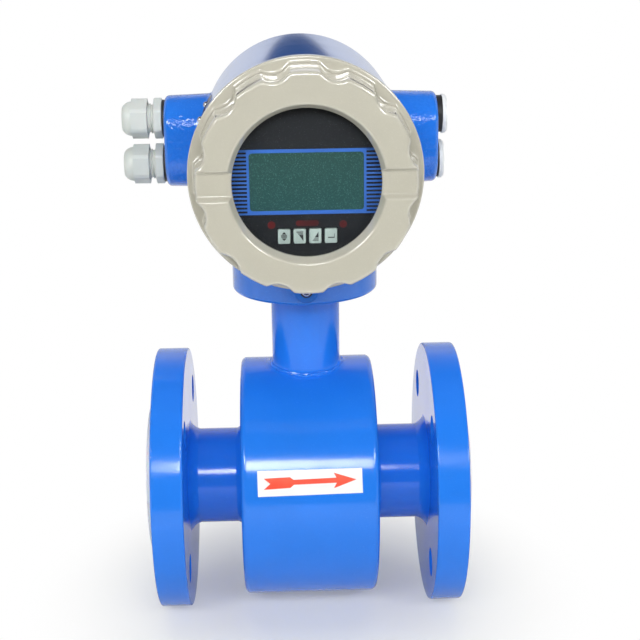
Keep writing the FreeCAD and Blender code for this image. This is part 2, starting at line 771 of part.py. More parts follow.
def make_housing():
    """Die-cast drum with two conduit boxes and the skirt that sits on the collar."""
    body = new_body("housing", HEAD)
    drum = outline(new_sketch(body, "XY_Plane"),
                   ring_corners(ZERO, d.drum_radius, -d.drum_front, d.drum_rear))
    revolve(body, drum)
    skirt = outline(new_sketch(body, "XZ_Plane"), [
        (ZERO, -d.skirt_drop),
        (d.skirt_radius - d.skirt_edge, -d.skirt_drop),
        (d.skirt_radius, d.skirt_edge - d.skirt_drop),
        (d.skirt_radius, ZERO),
        (ZERO, ZERO)], {1: (d.skirt_edge, True)})
    revolve(body, skirt)
    corners, arcs = rounded_corners(d.box_depth / 2, d.box_tall / 2, d.box_corner, (d.box_middle, ZERO))
    box_end = outline(new_sketch(body, "YZ_Plane", d.box_reach), corners, arcs)
    conduit_box = extrude(body, box_end, d.box_reach - d.drum_radius / 2, reverse=True)
    bind(conduit_box, "TaperAngle", d.box_draft)
    doc.recompute()
    mirrored = body.newObject("PartDesign::Mirrored", "housing_mirrored")
    plane = next(item for item in body.Origin.OriginFeatures if item.Role == "YZ_Plane")
    mirrored.Originals = [conduit_box]
    mirrored.MirrorPlane = (plane, [""])
    body.Tip = mirrored

    def end_face_edge(edge):
        """Rim of a conduit box's end face."""
        outermost = min(abs(edge.BoundBox.XMin), abs(edge.BoundBox.XMax))
        return near(outermost, d.box_reach.value)

    def cast_corner(edge):
        """Where the skirt or a conduit box runs into the drum."""
        middle = edge.valueAt((edge.FirstParameter + edge.LastParameter) / 2)
        on_drum = near(math.hypot(middle.x, middle.z), d.drum_radius.value)
        return on_drum and edge.BoundBox.YLength > 1 and edge.BoundBox.ZLength > 1

    ends = round_edges(body, mirrored, d.box_edge, end_face_edge)
    round_edges(body, ends, d.cast_fillet, cast_corner)
    front = outline(new_sketch(body, "XY_Plane"), [
        (ZERO, -d.drum_front - OVERRUN),
        (d.front_seat_radius, -d.drum_front - OVERRUN),
        (d.front_seat_radius, d.seat_depth - d.drum_front),
        (chamber_front_radius, d.seat_depth - d.drum_front),
        (chamber_front_radius, d.partition_front),
        (ZERO, d.partition_front)])
    revolve(body, front, kind="Groove")
    rear = outline(new_sketch(body, "XY_Plane"), [
        (ZERO, partition_rear),
        (chamber_rear_radius, partition_rear),
        (chamber_rear_radius, d.drum_rear - d.seat_depth),
        (d.rear_seat_radius, d.drum_rear - d.seat_depth),
        (d.rear_seat_radius, d.drum_rear + OVERRUN),
        (ZERO, d.drum_rear + OVERRUN)])
    revolve(body, rear, kind="Groove")
    swivel = outline(new_sketch(body, "XZ_Plane"), [
        (ZERO, -d.skirt_drop - OVERRUN),
        (swivel_bore, -d.skirt_drop - OVERRUN),
        (swivel_bore, swivel_seat),
        (d.lead_hole_radius, swivel_seat),
        (d.lead_hole_radius, -d.skirt_radius),
        (ZERO, -d.skirt_radius)])
    revolve(body, swivel, kind="Groove")
    corners, arcs = rounded_corners(d.box_depth / 2 - d.box_wall, d.box_tall / 2 - d.box_wall,
                                    d.box_corner - d.box_wall, (d.box_middle, ZERO))
    hollow = outline(new_sketch(body, "YZ_Plane"), corners, arcs)
    extrude(body, hollow, (d.box_reach - d.box_end_wall) * 2, "Pocket", both_ways=True)
    half_pitch = d.entry_pitch / 2
    entries = circles(new_sketch(body, "YZ_Plane"),
                      *[(d.box_middle, up, d.entry_radius) for up in (-half_pitch, half_pitch)])
    extrude(body, entries, d.box_reach * 2 + OVERRUN, "Pocket", both_ways=True)
    post = d.post_circle * math.sqrt(0.5)
    posts = circles(new_sketch(body, "XZ_Plane", -d.partition_front - OVERRUN),
                    *[(across, up, d.post_radius) for across in (-post, post) for up in (-post, post)])
    extrude(body, posts, d.post_length + OVERRUN)
    lead = circles(new_sketch(body, "XZ_Plane", -partition_rear - OVERRUN),
                   (ZERO, d.partition_hole_height, d.partition_hole_radius))
    extrude(body, lead, d.partition_thick + OVERRUN * 2, "Pocket", reverse=True)
    lock = lock_height - d.head_height
    spot = circles(new_sketch(body, "XZ_Plane", d.spot_face_flat), (ZERO, lock, d.spot_face_radius))
    spot_face = extrude(body, spot, d.spot_face_radius, "Pocket", reverse=True)
    polar(body, spot_face, "Z_Axis", 3)
    drill = circles(new_sketch(body, "XZ_Plane", d.collar_radius / 2), (ZERO, lock, d.lock_shank_radius))
    drilled = extrude(body, drill, d.collar_radius, "Pocket", reverse=True)
    polar(body, drilled, "Z_Axis", 3)
    keep(body, "housing")


def make_lock_screws():
    """Three radial screws that hold the head on the collar, each on a black washer."""
    screws = []
    washers = []
    tip = d.collar_radius - d.lock_groove_depth + d.lock_tip_clearance
    seat = d.spot_face_flat + d.lock_washer_thick
    for number in range(3):
        rotation = Rotation(Vector(0, 0, 1), 120 * number)
        position = (ZERO, ZERO, lock_height)
        screws.append(turned(f"lock_screw_{number + 1}", Y_AXIS, [
            (ZERO, -seat - d.lock_head_thick),
            (d.lock_head_radius, -seat - d.lock_head_thick),
            (d.lock_head_radius, -seat),
            (d.lock_shank_radius, -seat),
            (d.lock_shank_radius, -tip),
            (ZERO, -tip)], position=position, rotation=rotation))
        washers.append(turned(f"lock_washer_{number + 1}", Y_AXIS, ring_corners(
            d.lock_shank_radius, d.lock_washer_radius, -seat, -d.spot_face_flat),
            position=position, rotation=rotation))
    keep(group("lock_screws", *screws), "lock_screws")
    keep(group("lock_washers", *washers), "lock_washers")


# ---------------------------------------------------------------------------------------
# Screwed covers with finger scallops
# ---------------------------------------------------------------------------------------
SCALLOPS = 12
ring_face = d.drum_front + d.cover_flange_thick + d.ring_height
lip_front = ring_face - d.bevel_depth
glass_seat = lip_front - d.window_lip
spigot_radius = d.front_seat_radius - d.thread_clearance
rear_spigot_radius = d.rear_seat_radius - d.thread_clearance


def spigot_corners(outer, inner, seat):
    """Threaded spigot behind the flange's seat, with its seal groove, from outside inwards."""
    return [
        (outer - d.seal_groove_depth, -seat),
        (outer - d.seal_groove_depth, d.seal_groove_width - seat),
        (outer, d.seal_groove_width - seat),
        (outer, d.spigot_length - seat),
        (inner, d.spigot_length - seat),
    ]


def scallop(body, face, floor, reach):
    """Finger scallops round the grip ring, their corners softened."""
    half_step = math.pi / SCALLOPS
    cos, sin = math.cos(half_step), math.sin(half_step)
    sketch = circles(new_sketch(body, "XZ_Plane", face), (reach * sin, reach * cos, d.scallop_radius))
    pocket = extrude(body, sketch, face - floor, "Pocket")
    pattern = polar(body, pocket, "Y_Axis", SCALLOPS)
    front, back = -face.value, -floor.value

    def corner_edge(edge):
        """Edge that runs the whole depth of a scallop."""
        ends = edge.BoundBox
        across = ends.XLength + ends.ZLength
        return near(ends.YMin, front, 0.2) and near(ends.YMax, back, 0.2) and across < ends.YLength / 2

    return round_edges(body, pattern, d.scallop_corner, corner_edge)


def make_front_cover():
    """Cast window cover: flange, drafted grip ring, bevelled window, glass seat and spigot."""
    body = new_body("front_cover", HEAD)
    flange_face = d.drum_front + d.cover_flange_thick
    cavity_front = d.drum_front + d.cover_cavity_front
    section = outline(new_sketch(body, "XY_Plane"), [
        (d.window_radius, -lip_front),
        (d.bevel_radius, -ring_face),
        (d.ring_front_radius, -ring_face),
        (d.ring_base_radius, -flange_face),
        (d.cover_radius, -flange_face),
        (d.cover_radius, -d.drum_front),
        *spigot_corners(spigot_radius, d.cover_cavity_radius, d.drum_front),
        (d.cover_cavity_radius, -cavity_front),
        (d.glass_seat_radius, -cavity_front),
        (d.glass_seat_radius, -glass_seat),
        (d.window_radius, -glass_seat)])
    revolve(body, section)
    softened = scallop(body, ring_face, flange_face, d.scallop_reach)
    front = -ring_face.value
    bevel = d.bevel_radius.value

    def rim_edge(edge):
        """Outer rim of the grip ring's face, between and inside the scallops."""
        on_face = near(edge.BoundBox.YMin, front) and near(edge.BoundBox.YMax, front)
        middle = edge.valueAt((edge.FirstParameter + edge.LastParameter) / 2)
        return on_face and math.hypot(middle.x, middle.z) > bevel + 1

    round_edges(body, softened, d.ring_edge, rim_edge)
    half = d.slot_width / 2
    floor = d.slot_depth - ring_face
    slot = outline(new_sketch(body, "YZ_Plane"), [
        (-ring_face - OVERRUN, half + d.slot_edge),
        (-ring_face - OVERRUN, -half - d.slot_edge),
        (-ring_face, -half - d.slot_edge),
        (d.slot_edge - ring_face, -half),
        (floor, -half),
        (floor, half),
        (d.slot_edge - ring_face, half),
        (-ring_face, half + d.slot_edge),
    ], {2: (d.slot_edge, False), 6: (d.slot_edge, False)})
    extrude(body, slot, d.cover_radius * 2, "Pocket", both_ways=True)
    keep(body, "front_cover")


def make_rear_cover():
    """Blind cast cover over the terminal chamber, with the same finger scallops."""
    body = new_body("rear_cover", HEAD, BACK_TO_FRONT)
    flange_face = d.drum_rear + d.rear_cover_thick
    face = flange_face + d.rear_ring_height
    cavity = rear_spigot_radius - d.seal_groove_depth - d.rear_cover_wall
    section = outline(new_sketch(body, "XY_Plane"), [
        (ZERO, -face),
        (d.rear_ring_radius, -face),
        (d.rear_ring_radius, -flange_face),
        (d.rear_cover_radius, -flange_face),
        (d.rear_cover_radius, -d.drum_rear),
        *spigot_corners(rear_spigot_radius, cavity, d.drum_rear),
        (cavity, d.rear_cover_wall - face),
        (ZERO, d.rear_cover_wall - face)])
    revolve(body, section)
    reach = d.rear_ring_radius + d.scallop_reach - d.ring_base_radius
    scallop(body, face, flange_face, reach)
    keep(body, "rear_cover")


def make_cover_seal(label, spigot, seat, rotation=None):
    """Square-section seal lying in the groove of a cover."""
    inner = spigot - d.seal_groove_depth + d.seal_play
    outer = spigot - d.seal_play
    front = d.seal_play - seat
    back = d.seal_groove_width - d.seal_play - seat
    seal = turned(label, Y_AXIS, ring_corners(inner, outer, front, back), position=HEAD, rotation=rotation)
    keep(seal, label)


def make_window():
    """Gasket, toughened glass and the ring that holds them in the front cover."""
    rim = d.glass_seat_radius - d.glass_clearance
    glass_front = glass_seat - d.gasket_thick
    glass_back = glass_front - d.glass_thick
    ring_back = glass_back - d.retainer_thick
    keep(turned("window_gasket", Y_AXIS, ring_corners(d.gasket_bore, rim, -glass_seat, -glass_front),
                position=HEAD), "window_gasket")
    keep(turned("window_glass", Y_AXIS, ring_corners(ZERO, rim, -glass_front, -glass_back),
                position=HEAD), "window_glass")
    keep(turned("glass_retainer", Y_AXIS, ring_corners(
        d.retainer_bore, d.glass_seat_radius, -glass_back, -ring_back), position=HEAD), "glass_retainer")


# ---------------------------------------------------------------------------------------
# Display behind the window
# ---------------------------------------------------------------------------------------
panel_back = d.panel_front - d.panel_thick
panel_rim_back = d.panel_front - d.panel_rim
lcd_front = d.panel_front - d.lcd_recess
display_board_back = panel_rim_back - d.board_thick
ARC_SLACK = 0.01                   # keeps a sliver of straight side between two half-round ends
key_places = [(number, d.key_pitch * (number - 2.5)) for number in (1, 2, 3, 4)]


def make_display():
    """Moulded panel with openings for the screen, four keys and the lamps, and what fills them."""
    body = new_body("display_panel", HEAD)
    section = outline(new_sketch(body, "XY_Plane"), [
        (ZERO, -d.panel_front),
        (d.panel_radius, -d.panel_front),
        (d.panel_radius, -panel_rim_back),
        (d.panel_radius - d.panel_wall, -panel_rim_back),
        (d.panel_radius - d.panel_wall, -panel_back),
        (ZERO, -panel_back)])
    revolve(body, section)
    openings = new_sketch(body, "XZ_Plane", d.panel_front + OVERRUN)
    outline(openings, *rounded_corners(d.lcd_width / 2, d.lcd_tall / 2, d.lcd_corner, (ZERO, -d.lcd_drop)))
    for _, across in key_places:
        outline(openings, *rounded_corners(d.key_width / 2 + d.key_gap, d.key_tall / 2 + d.key_gap,
                                           d.key_corner + d.key_gap, (across, -d.key_drop)))
    outline(openings, *rounded_corners(d.beam_length / 2, d.beam_tall / 2, d.beam_tall / 2 - ARC_SLACK,
                                       (ZERO, -d.beam_drop)))
    circles(openings, *[(across, -d.lamp_drop, d.lamp_radius) for across in (-d.lamp_reach, d.lamp_reach)])
    extrude(body, openings, d.panel_thick + OVERRUN * 2, "Pocket")
    keep(body, "display_panel")

    lcd = new_body("lcd_module", HEAD)
    face = outline(new_sketch(lcd, "XZ_Plane", lcd_front),
                   *rounded_corners(d.lcd_width / 2, d.lcd_tall / 2, d.lcd_corner, (ZERO, -d.lcd_drop)))
    extrude(lcd, face, lcd_front - panel_back, reverse=True)
    frame = outline(new_sketch(lcd, "XZ_Plane", panel_back), *rounded_corners(
        d.lcd_width / 2 + d.lcd_frame, d.lcd_tall / 2 + d.lcd_frame, d.lcd_corner, (ZERO, -d.lcd_drop)))
    extrude(lcd, frame, panel_back - panel_rim_back, reverse=True)
    keep(lcd, "lcd_module")

    beam = new_body("infrared_window", HEAD)
    pill = outline(new_sketch(beam, "XZ_Plane", d.panel_front), *rounded_corners(
        d.beam_length / 2, d.beam_tall / 2, d.beam_tall / 2 - ARC_SLACK, (ZERO, -d.beam_drop)))
    extrude(beam, pill, d.panel_thick, reverse=True)
    keep(beam, "infrared_window")
    lamps = [cylinder(f"lamp_{side}", Y_AXIS, -d.panel_front, d.panel_rim, d.lamp_radius,
                      (across, d.head_height - d.lamp_drop))
             for side, across in (("left", -d.lamp_reach), ("right", d.lamp_reach))]
    keep(group("status_lamps", *lamps), "status_lamps")


def make_keys():
    """Four push keys, each held behind the panel by its collar."""
    for number, across in key_places:
        key = new_body(f"key_{number}", HEAD)
        cap = outline(new_sketch(key, "XZ_Plane", d.panel_front + d.key_stand), *rounded_corners(
            d.key_width / 2, d.key_tall / 2, d.key_corner, (across, -d.key_drop)))
        cap_length = d.key_stand + d.panel_thick
        extrude(key, cap, cap_length, reverse=True)
        collar = outline(new_sketch(key, "XZ_Plane", panel_back), *rounded_corners(
            d.key_width / 2 + d.key_gap * 2, d.key_tall / 2 + d.key_collar, d.key_corner,
            (across, -d.key_drop)))
        extrude(key, collar, d.key_collar_thick, reverse=True)
        keep(key, f"key_{number}")


# ---------------------------------------------------------------------------------------
# Electronics and terminals
# ---------------------------------------------------------------------------------------
TERMINALS = 10
post_face = d.partition_front - d.post_length
spacer_gap = d.spacer_length + d.board_thick


def make_boards():
    """Board stack on the cast posts: power, signal and processor boards, then the display board."""
    post = d.post_circle * math.sqrt(0.5)
    spacer = d.spacer_circle * math.sqrt(0.5)
    corners = [(across, up) for across in (-1, 1) for up in (-1, 1)]
    spacers = []
    for level, label in enumerate(("power_board", "signal_board", "processor_board")):
        back = post_face - spacer_gap * level
        front = back - d.board_thick
        keep(turned(label, Y_AXIS, ring_corners(ZERO, d.board_radius, front, back), position=HEAD), label)
        end = front - d.spacer_length if level < 2 else -display_board_back
        for number, (across, up) in enumerate(corners):
            spacers.append(hexagon(f"spacer_{level}_{number}", Y_AXIS, end, front - end, d.spacer_radius,
                                   (spacer * across, d.head_height + spacer * up)))
    keep(group("board_spacers", *spacers), "board_spacers")
    keep(turned("display_board", Y_AXIS, ring_corners(ZERO, d.display_board_radius, -panel_rim_back,
                                                      -display_board_back), position=HEAD), "display_board")
    heads = [cylinder(f"board_screw_{number}", Y_AXIS, post_face - d.board_thick - d.board_screw_thick,
                      d.board_screw_thick, d.board_screw_radius, (post * across, d.head_height + post * up))
             for number, (across, up) in enumerate(corners)]
    keep(group("board_screws", *heads), "board_screws")
    power_front = post_face - d.board_thick
    half = d.transformer_size / 2
    top = d.head_height - d.transformer_drop
    keep(box("mains_transformer", (-half, power_front - d.transformer_tall, top - d.transformer_tall),
             (half, power_front, top)), "mains_transformer")


def make_terminals():
    """Stepped terminal block on the partition, with one screw for each wire."""
    half = d.terminal_width / 2
    low = d.head_height - d.terminal_height - d.terminal_depth
    high = d.head_height - d.terminal_height
    face = partition_rear + d.terminal_tall
    block = box("terminal_base", (-half, partition_rear, low), (half, face, high))
    step = box("terminal_notch", (-half, partition_rear + d.terminal_step, low),
               (half, face, low + d.terminal_step))
    keep(cut("terminal_block", block, step), "terminal_block")
    row = (low + d.terminal_step + high) / 2
    middle = (TERMINALS - 1) / 2
    screws = [cylinder(f"terminal_screw_{number}", Y_AXIS, face, d.terminal_screw_thick,
                       d.terminal_screw_radius,
                       (d.terminal_pitch * (number - middle), row))
              for number in range(TERMINALS)]
    keep(group("terminal_screws", *screws), "terminal_screws")


# ---------------------------------------------------------------------------------------
# Cable glands and blanking plugs
# ---------------------------------------------------------------------------------------
shank_radius = d.entry_radius - d.entry_clearance
hex_foot = d.box_reach + d.gland_gasket_thick
hex_end = hex_foot + d.gland_hex_thick
nut_foot = hex_end + d.gland_gap
nut_shoulder = nut_foot + d.gland_nut_hex
nut_tip = nut_shoulder + d.gland_nut_dome
thread_end = hex_end + d.gland_thread_length
claw_end = thread_end + d.gland_claw_length
seal_foot = thread_end - d.gland_seal_sunk
seal_lip = claw_end + d.gland_seal_proud
DOME_ROUND = 1.1                   # radius of the dome's curve over its height


def make_gland(side, up):
    """Plastic cable gland: body with hexagon and claws, rubber seal, dome nut."""
    centre = (d.box_middle, d.head_height + up)
    turning = turned(f"{side}_gland_turning", X_AXIS, [
        (d.shank_length - d.box_reach, d.gland_bore),
        (d.shank_length - d.box_reach, shank_radius),
        (-d.box_reach - d.gland_gasket_thick, shank_radius),
        (-hex_foot, d.gland_thread_radius),
        (-thread_end, d.gland_thread_radius),
        (-thread_end, d.gland_claw_radius),
        (-claw_end, d.gland_claw_radius),
        (-claw_end, d.gland_bore + d.gland_seal_wall),
        (-seal_foot, d.gland_bore + d.gland_seal_wall),
        (-seal_foot, d.gland_bore)], position=(ZERO, *centre))
    collar = hexagon_bar(f"{side}_gland_hex", -hex_end, d.gland_hex_thick,
                         d.gland_flats, d.gland_corner, centre)
    core = cylinder(f"{side}_gland_core", X_AXIS, -hex_end, d.gland_hex_thick,
                    d.gland_thread_radius, centre)
    ring = cut(f"{side}_gland_hex_ring", collar, core)
    keep(fuse(f"{side}_gland_body", turning, ring), f"{side}_gland_body")

    seal_gap = d.thread_clearance
    seal_rim = d.gland_bore + d.gland_seal_wall - seal_gap
    seal = turned(f"{side}_gland_seal", X_AXIS, [
        (-seal_foot - seal_gap, d.gland_seal_bore),
        (-seal_foot - seal_gap, seal_rim),
        (-seal_lip, seal_rim),
        (-seal_lip, d.gland_seal_bore)], position=(ZERO, *centre))
    keep(seal, f"{side}_gland_seal")

    wide = d.gland_thread_radius + seal_gap
    narrow = d.gland_claw_radius + seal_gap
    inner_end = seal_lip + seal_gap
    dome_foot = d.gland_flats / 2 - d.gland_corner
    dome = turned(f"{side}_nut_dome", X_AXIS, [
        (-nut_shoulder, d.gland_nut_bore),
        (-nut_shoulder, dome_foot),
        (-nut_tip, d.gland_nut_bore + d.gland_nut_rim),
        (-nut_tip, d.gland_nut_bore)], {1: (d.gland_nut_dome * DOME_ROUND, True)}, position=(ZERO, *centre))
    bar = hexagon_bar(f"{side}_nut_hex", -nut_shoulder, d.gland_nut_hex,
                      d.gland_flats, d.gland_corner, centre)
    solid = fuse(f"{side}_nut_solid", dome, bar)
    hollow = turned(f"{side}_nut_hollow", X_AXIS, [
        (-nut_foot + OVERRUN, ZERO),
        (-nut_foot + OVERRUN, wide),
        (-thread_end - seal_gap, wide),
        (-thread_end - seal_gap, narrow),
        (-inner_end, narrow),
        (-inner_end, d.gland_nut_bore),
        (-nut_tip - OVERRUN, d.gland_nut_bore),
        (-nut_tip - OVERRUN, ZERO)], position=(ZERO, *centre))
    keep(cut(f"{side}_gland_nut", solid, hollow), f"{side}_gland_nut")


def make_plug(side, up, rings):
    """White blanking plug on black sealing rings, dished and slotted in front."""
    centre = (d.box_middle, d.head_height + up)
    head_foot = d.box_reach + d.gland_gasket_thick * rings
    face = head_foot + d.plug_thick
    dish = d.plug_dish_radius
    blank = turned(f"{side}_plug_blank", X_AXIS, [
        (d.box_reach - d.shank_length, ZERO),
        (d.box_reach - d.shank_length, shank_radius),
        (head_foot, shank_radius),
        (head_foot, d.plug_radius),
        (face - d.plug_edge, d.plug_radius),
        (face, d.plug_radius - d.plug_edge),
        (face, dish + d.plug_dish),
        (face - d.plug_dish, dish),
        (face - d.plug_dish, ZERO)], {4: (d.plug_edge, True)}, position=(ZERO, *centre))
    half = d.plug_slot / 2
    slot = box(f"{side}_plug_slot", (face - d.plug_thick / 2, centre[0] - dish / 2, centre[1] - half),
               (face, centre[0] + dish / 2, centre[1] + half))
    keep(cut(f"{side}_blank_plug", blank, slot), f"{side}_blank_plug")


def make_entries():
    """Two glands on the inlet side, two blanking plugs on the outlet side, and their sealing rings."""
    half = d.entry_pitch / 2
    rings = []
    gaskets = []
    for side, up, count in (("upper", half, 2), ("lower", -half, 1)):
        make_gland(side, up)
        make_plug(side, up, count)
        centre = (d.box_middle, d.head_height + up)
        gaskets.append(tube(f"{side}_gland_gasket", X_AXIS, -hex_foot, d.gland_gasket_thick,
                            d.gland_gasket_radius, shank_radius, centre))
        for number in range(count):
            foot = d.box_reach + d.gland_gasket_thick * number
            rings.append(tube(f"{side}_plug_ring_{number + 1}", X_AXIS, foot, d.gland_gasket_thick,
                              d.gland_gasket_radius, shank_radius, centre))
    keep(group("gland_gaskets", *gaskets), "gland_gaskets")
    keep(group("plug_rings", *rings), "plug_rings")


# ---------------------------------------------------------------------------------------
# Assembly and export
# ---------------------------------------------------------------------------------------
make_measuring_tube()
make_flange("inlet_flange", BACK_TO_FRONT)
make_flange("outlet_flange", None)
make_liner()
make_coil_housing()
make_magnet()
make_electrodes()
make_neck()
make_collar()
make_housing()
make_lock_screws()
make_front_cover()
make_rear_cover()
make_cover_seal("front_cover_seal", spigot_radius, d.drum_front)
make_cover_seal("rear_cover_seal", rear_spigot_radius, d.drum_rear, BACK_TO_FRONT)
make_window()
make_display()
make_keys()
make_boards()
make_terminals()
make_entries()
doc.recompute()

for thing in doc.Objects:
    if "Invalid" in thing.State or "Error" in thing.State:
        raise RuntimeError(f"{thing.Label} failed: {thing.State}")
for label, piece in nodes.items():
    if piece.Shape.isNull() or not piece.Shape.isValid():
        raise RuntimeError(f"{label} has no valid solid")

os.makedirs("parts", exist_ok=True)
for label, piece in nodes.items():
    piece.Shape.exportStep(f"parts/{label}.step")
    print(label, len(piece.Shape.Solids), round(piece.Shape.Volume, 1))
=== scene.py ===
"""Electromagnetic flow meter with a swivelling display head: finishes, printed parts and studio."""
import math

import bmesh
import bpy
from mathutils import Matrix, Vector


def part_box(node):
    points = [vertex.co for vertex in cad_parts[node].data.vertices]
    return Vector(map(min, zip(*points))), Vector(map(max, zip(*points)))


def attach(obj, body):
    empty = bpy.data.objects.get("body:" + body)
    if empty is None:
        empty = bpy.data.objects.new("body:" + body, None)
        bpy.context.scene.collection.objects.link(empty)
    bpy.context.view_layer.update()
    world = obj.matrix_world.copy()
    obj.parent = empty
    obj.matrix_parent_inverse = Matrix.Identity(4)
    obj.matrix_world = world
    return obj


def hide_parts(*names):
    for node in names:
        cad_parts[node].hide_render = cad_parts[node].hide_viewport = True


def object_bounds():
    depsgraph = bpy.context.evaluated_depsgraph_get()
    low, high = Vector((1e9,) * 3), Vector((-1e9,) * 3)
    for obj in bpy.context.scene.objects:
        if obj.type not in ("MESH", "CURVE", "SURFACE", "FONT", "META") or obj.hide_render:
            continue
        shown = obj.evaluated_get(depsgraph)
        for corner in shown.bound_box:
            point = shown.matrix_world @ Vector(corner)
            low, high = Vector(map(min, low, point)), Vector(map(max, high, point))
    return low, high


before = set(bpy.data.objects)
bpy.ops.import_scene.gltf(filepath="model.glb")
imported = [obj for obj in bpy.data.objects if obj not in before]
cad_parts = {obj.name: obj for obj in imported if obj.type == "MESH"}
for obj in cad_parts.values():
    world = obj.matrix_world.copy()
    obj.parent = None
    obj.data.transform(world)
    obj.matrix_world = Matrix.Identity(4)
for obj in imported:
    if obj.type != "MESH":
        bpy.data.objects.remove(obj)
cad_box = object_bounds()

# ---------------------------------------------------------------------------------------
# Camera: a long lens slightly left of the middle and above the display head, tilted down
# towards the flow tube.
# ---------------------------------------------------------------------------------------


def linked(name, data):
    """Object that shows the data, put into the scene."""
    piece = bpy.data.objects.new(name, data)
    bpy.context.scene.collection.objects.link(piece)
    return piece


camera = linked("camera", bpy.data.cameras.new("camera"))
camera.data.sensor_width, camera.data.lens = 36, 76.6
camera.data.clip_start, camera.data.clip_end = 0.01, 20
camera_place = Vector((-0.0148, -0.8198, 0.3430))
turn, tilt, lean = math.radians(-1.67), math.radians(90 - 16.33), math.radians(-0.77)
camera.matrix_world = (Matrix.Translation(camera_place) @ Matrix.Rotation(turn, 4, "Z")
                       @ Matrix.Rotation(tilt, 4, "X") @ Matrix.Rotation(lean, 4, "Z"))
bpy.context.scene.camera = camera

# ---------------------------------------------------------------------------------------
# Studio: a round table of white laminate with an upturned rim, a low glowing card behind the meter that shows
# only in its gloss as a painted reflection, two softboxes and strips to mirror in front, a weak lamp overhead
# and a dim room.
# ---------------------------------------------------------------------------------------
bpy.context.scene.view_settings.view_transform = "Standard"


def between_rings(rings, steps, shut=False):
    """Faces between neighbouring rings of points; shut joins the last ring to the first."""
    faces = []
    for ring in range(rings if shut else rings - 1):
        here, after = ring * steps, (ring + 1) % rings * steps
        for step in range(steps):
            beside = (step + 1) % steps
            faces.append((here + step, here + beside, after + beside, after + step))
    return faces


def modelled(name, points, faces, sharp=None):
    """Mesh object; where sharp is given, it is smooth but for edges steeper than so many degrees."""
    mesh = bpy.data.meshes.new(name)
    mesh.from_pydata(points, [], faces)
    if sharp is not None:
        mesh.polygons.foreach_set("use_smooth", [True] * len(faces))
        mesh.set_sharp_from_angle(angle=math.radians(sharp))
    return linked(name, mesh)


def spun(name, corners, steps=96):
    """Smooth mesh object turned about an upright axis from (radius, height) corners."""
    points = []
    for radius, height in corners:
        for step in range(steps):
            angle = math.tau * step / steps
            points.append((radius * math.cos(angle), radius * math.sin(angle), height))
    return modelled(name, points, between_rings(len(corners), steps), sharp=180)


def new_material(name):
    """Material, its node tree and the shader in it."""
    material = bpy.data.materials.new(name)
    material.use_nodes = True
    return material, material.node_tree, material.node_tree.nodes["Principled BSDF"]


def add(tree, kind, inputs=None, **settings):
    """Adds a node, sets its own settings, and fills its inputs with values or other outputs."""
    node = tree.nodes.new(kind)
    for setting, value in settings.items():
        setattr(node, setting, value)
    for socket, value in (inputs or {}).items():
        if isinstance(value, bpy.types.NodeSocket):
            tree.links.new(value, node.inputs[socket])
        else:
            node.inputs[socket].default_value = value
    return node


def maths(tree, operation, *terms):
    """Output of a sum on numbers or other outputs."""
    return add(tree, "ShaderNodeMath", dict(enumerate(terms)), operation=operation).outputs[0]


def vectors(tree, operation, *terms):
    """Output of a sum on vectors: a length is a number, the rest are vectors."""
    node = add(tree, "ShaderNodeVectorMath", dict(enumerate(terms)), operation=operation)
    return node.outputs["Value" if operation == "LENGTH" else "Vector"]


def ranged(tree, value, low, high, at_low=0.0, at_high=1.0, **settings):
    """Output that goes from at_low to at_high while a value goes from low to high."""
    node = add(tree, "ShaderNodeMapRange", {"Value": value, "From Min": low, "From Max": high,
                                            "To Min": at_low, "To Max": at_high}, **settings)
    return node.outputs["Result"]


def noise(tree, place, scale, detail, **inputs):
    """Output of cloudy noise at a place."""
    return add(tree, "ShaderNodeTexNoise", {"Vector": place, "Scale": scale, "Detail": detail,
                                            **inputs}).outputs["Fac"]


def blended(tree, share, first, second):
    """Output of a colour that goes from the first to the second as share goes from 0 to 1."""
    return add(tree, "ShaderNodeMix", {"Factor": share, "A": first, "B": second},
               data_type="RGBA").outputs["Result"]


table_top = cad_box[0].z
table_radius, rim_bend, rim_height = 1.5, 0.35, 0.80
bend = [(table_radius - rim_bend + rim_bend * math.sin(angle), table_top + rim_bend * (1 - math.cos(angle)))
        for angle in (math.pi / 2 * step / 12 for step in range(13))]
table = spun("table", [(0.0005, table_top), (0.4, table_top), (0.8, table_top), *bend,
                       (table_radius, table_top + rim_height)])

laminate, tree, shader = new_material("white_laminate")
tree.nodes.remove(shader)
place = add(tree, "ShaderNodeTexCoord").outputs["Object"]
sides = add(tree, "ShaderNodeSeparateXYZ", {0: place}).outputs
path = add(tree, "ShaderNodeLightPath").outputs
away = vectors(tree, "LENGTH", vectors(tree, "MULTIPLY", place, (1, 1, 0)))
white = blended(tree, noise(tree, place, 6.0, 3.0), (0.90, 0.90, 0.86, 1), (0.94, 0.94, 0.90, 1))
matt = add(tree, "ShaderNodeBsdfDiffuse", {"Color": white}).outputs[0]

# Where it is seen, the laminate is plain white, but for the meter's shadow at its foot.
seen = maths(tree, "MAXIMUM", path["Is Camera Ray"], path["Is Glossy Ray"])
seen = maths(tree, "MAXIMUM", seen, path["Is Transmission Ray"])
clear_of_foot = ranged(tree, away, 0.05, 0.19, 0.24, 1.0, interpolation_type="SMOOTHSTEP")
plain_white = maths(tree, "MULTIPLY", seen, clear_of_foot)
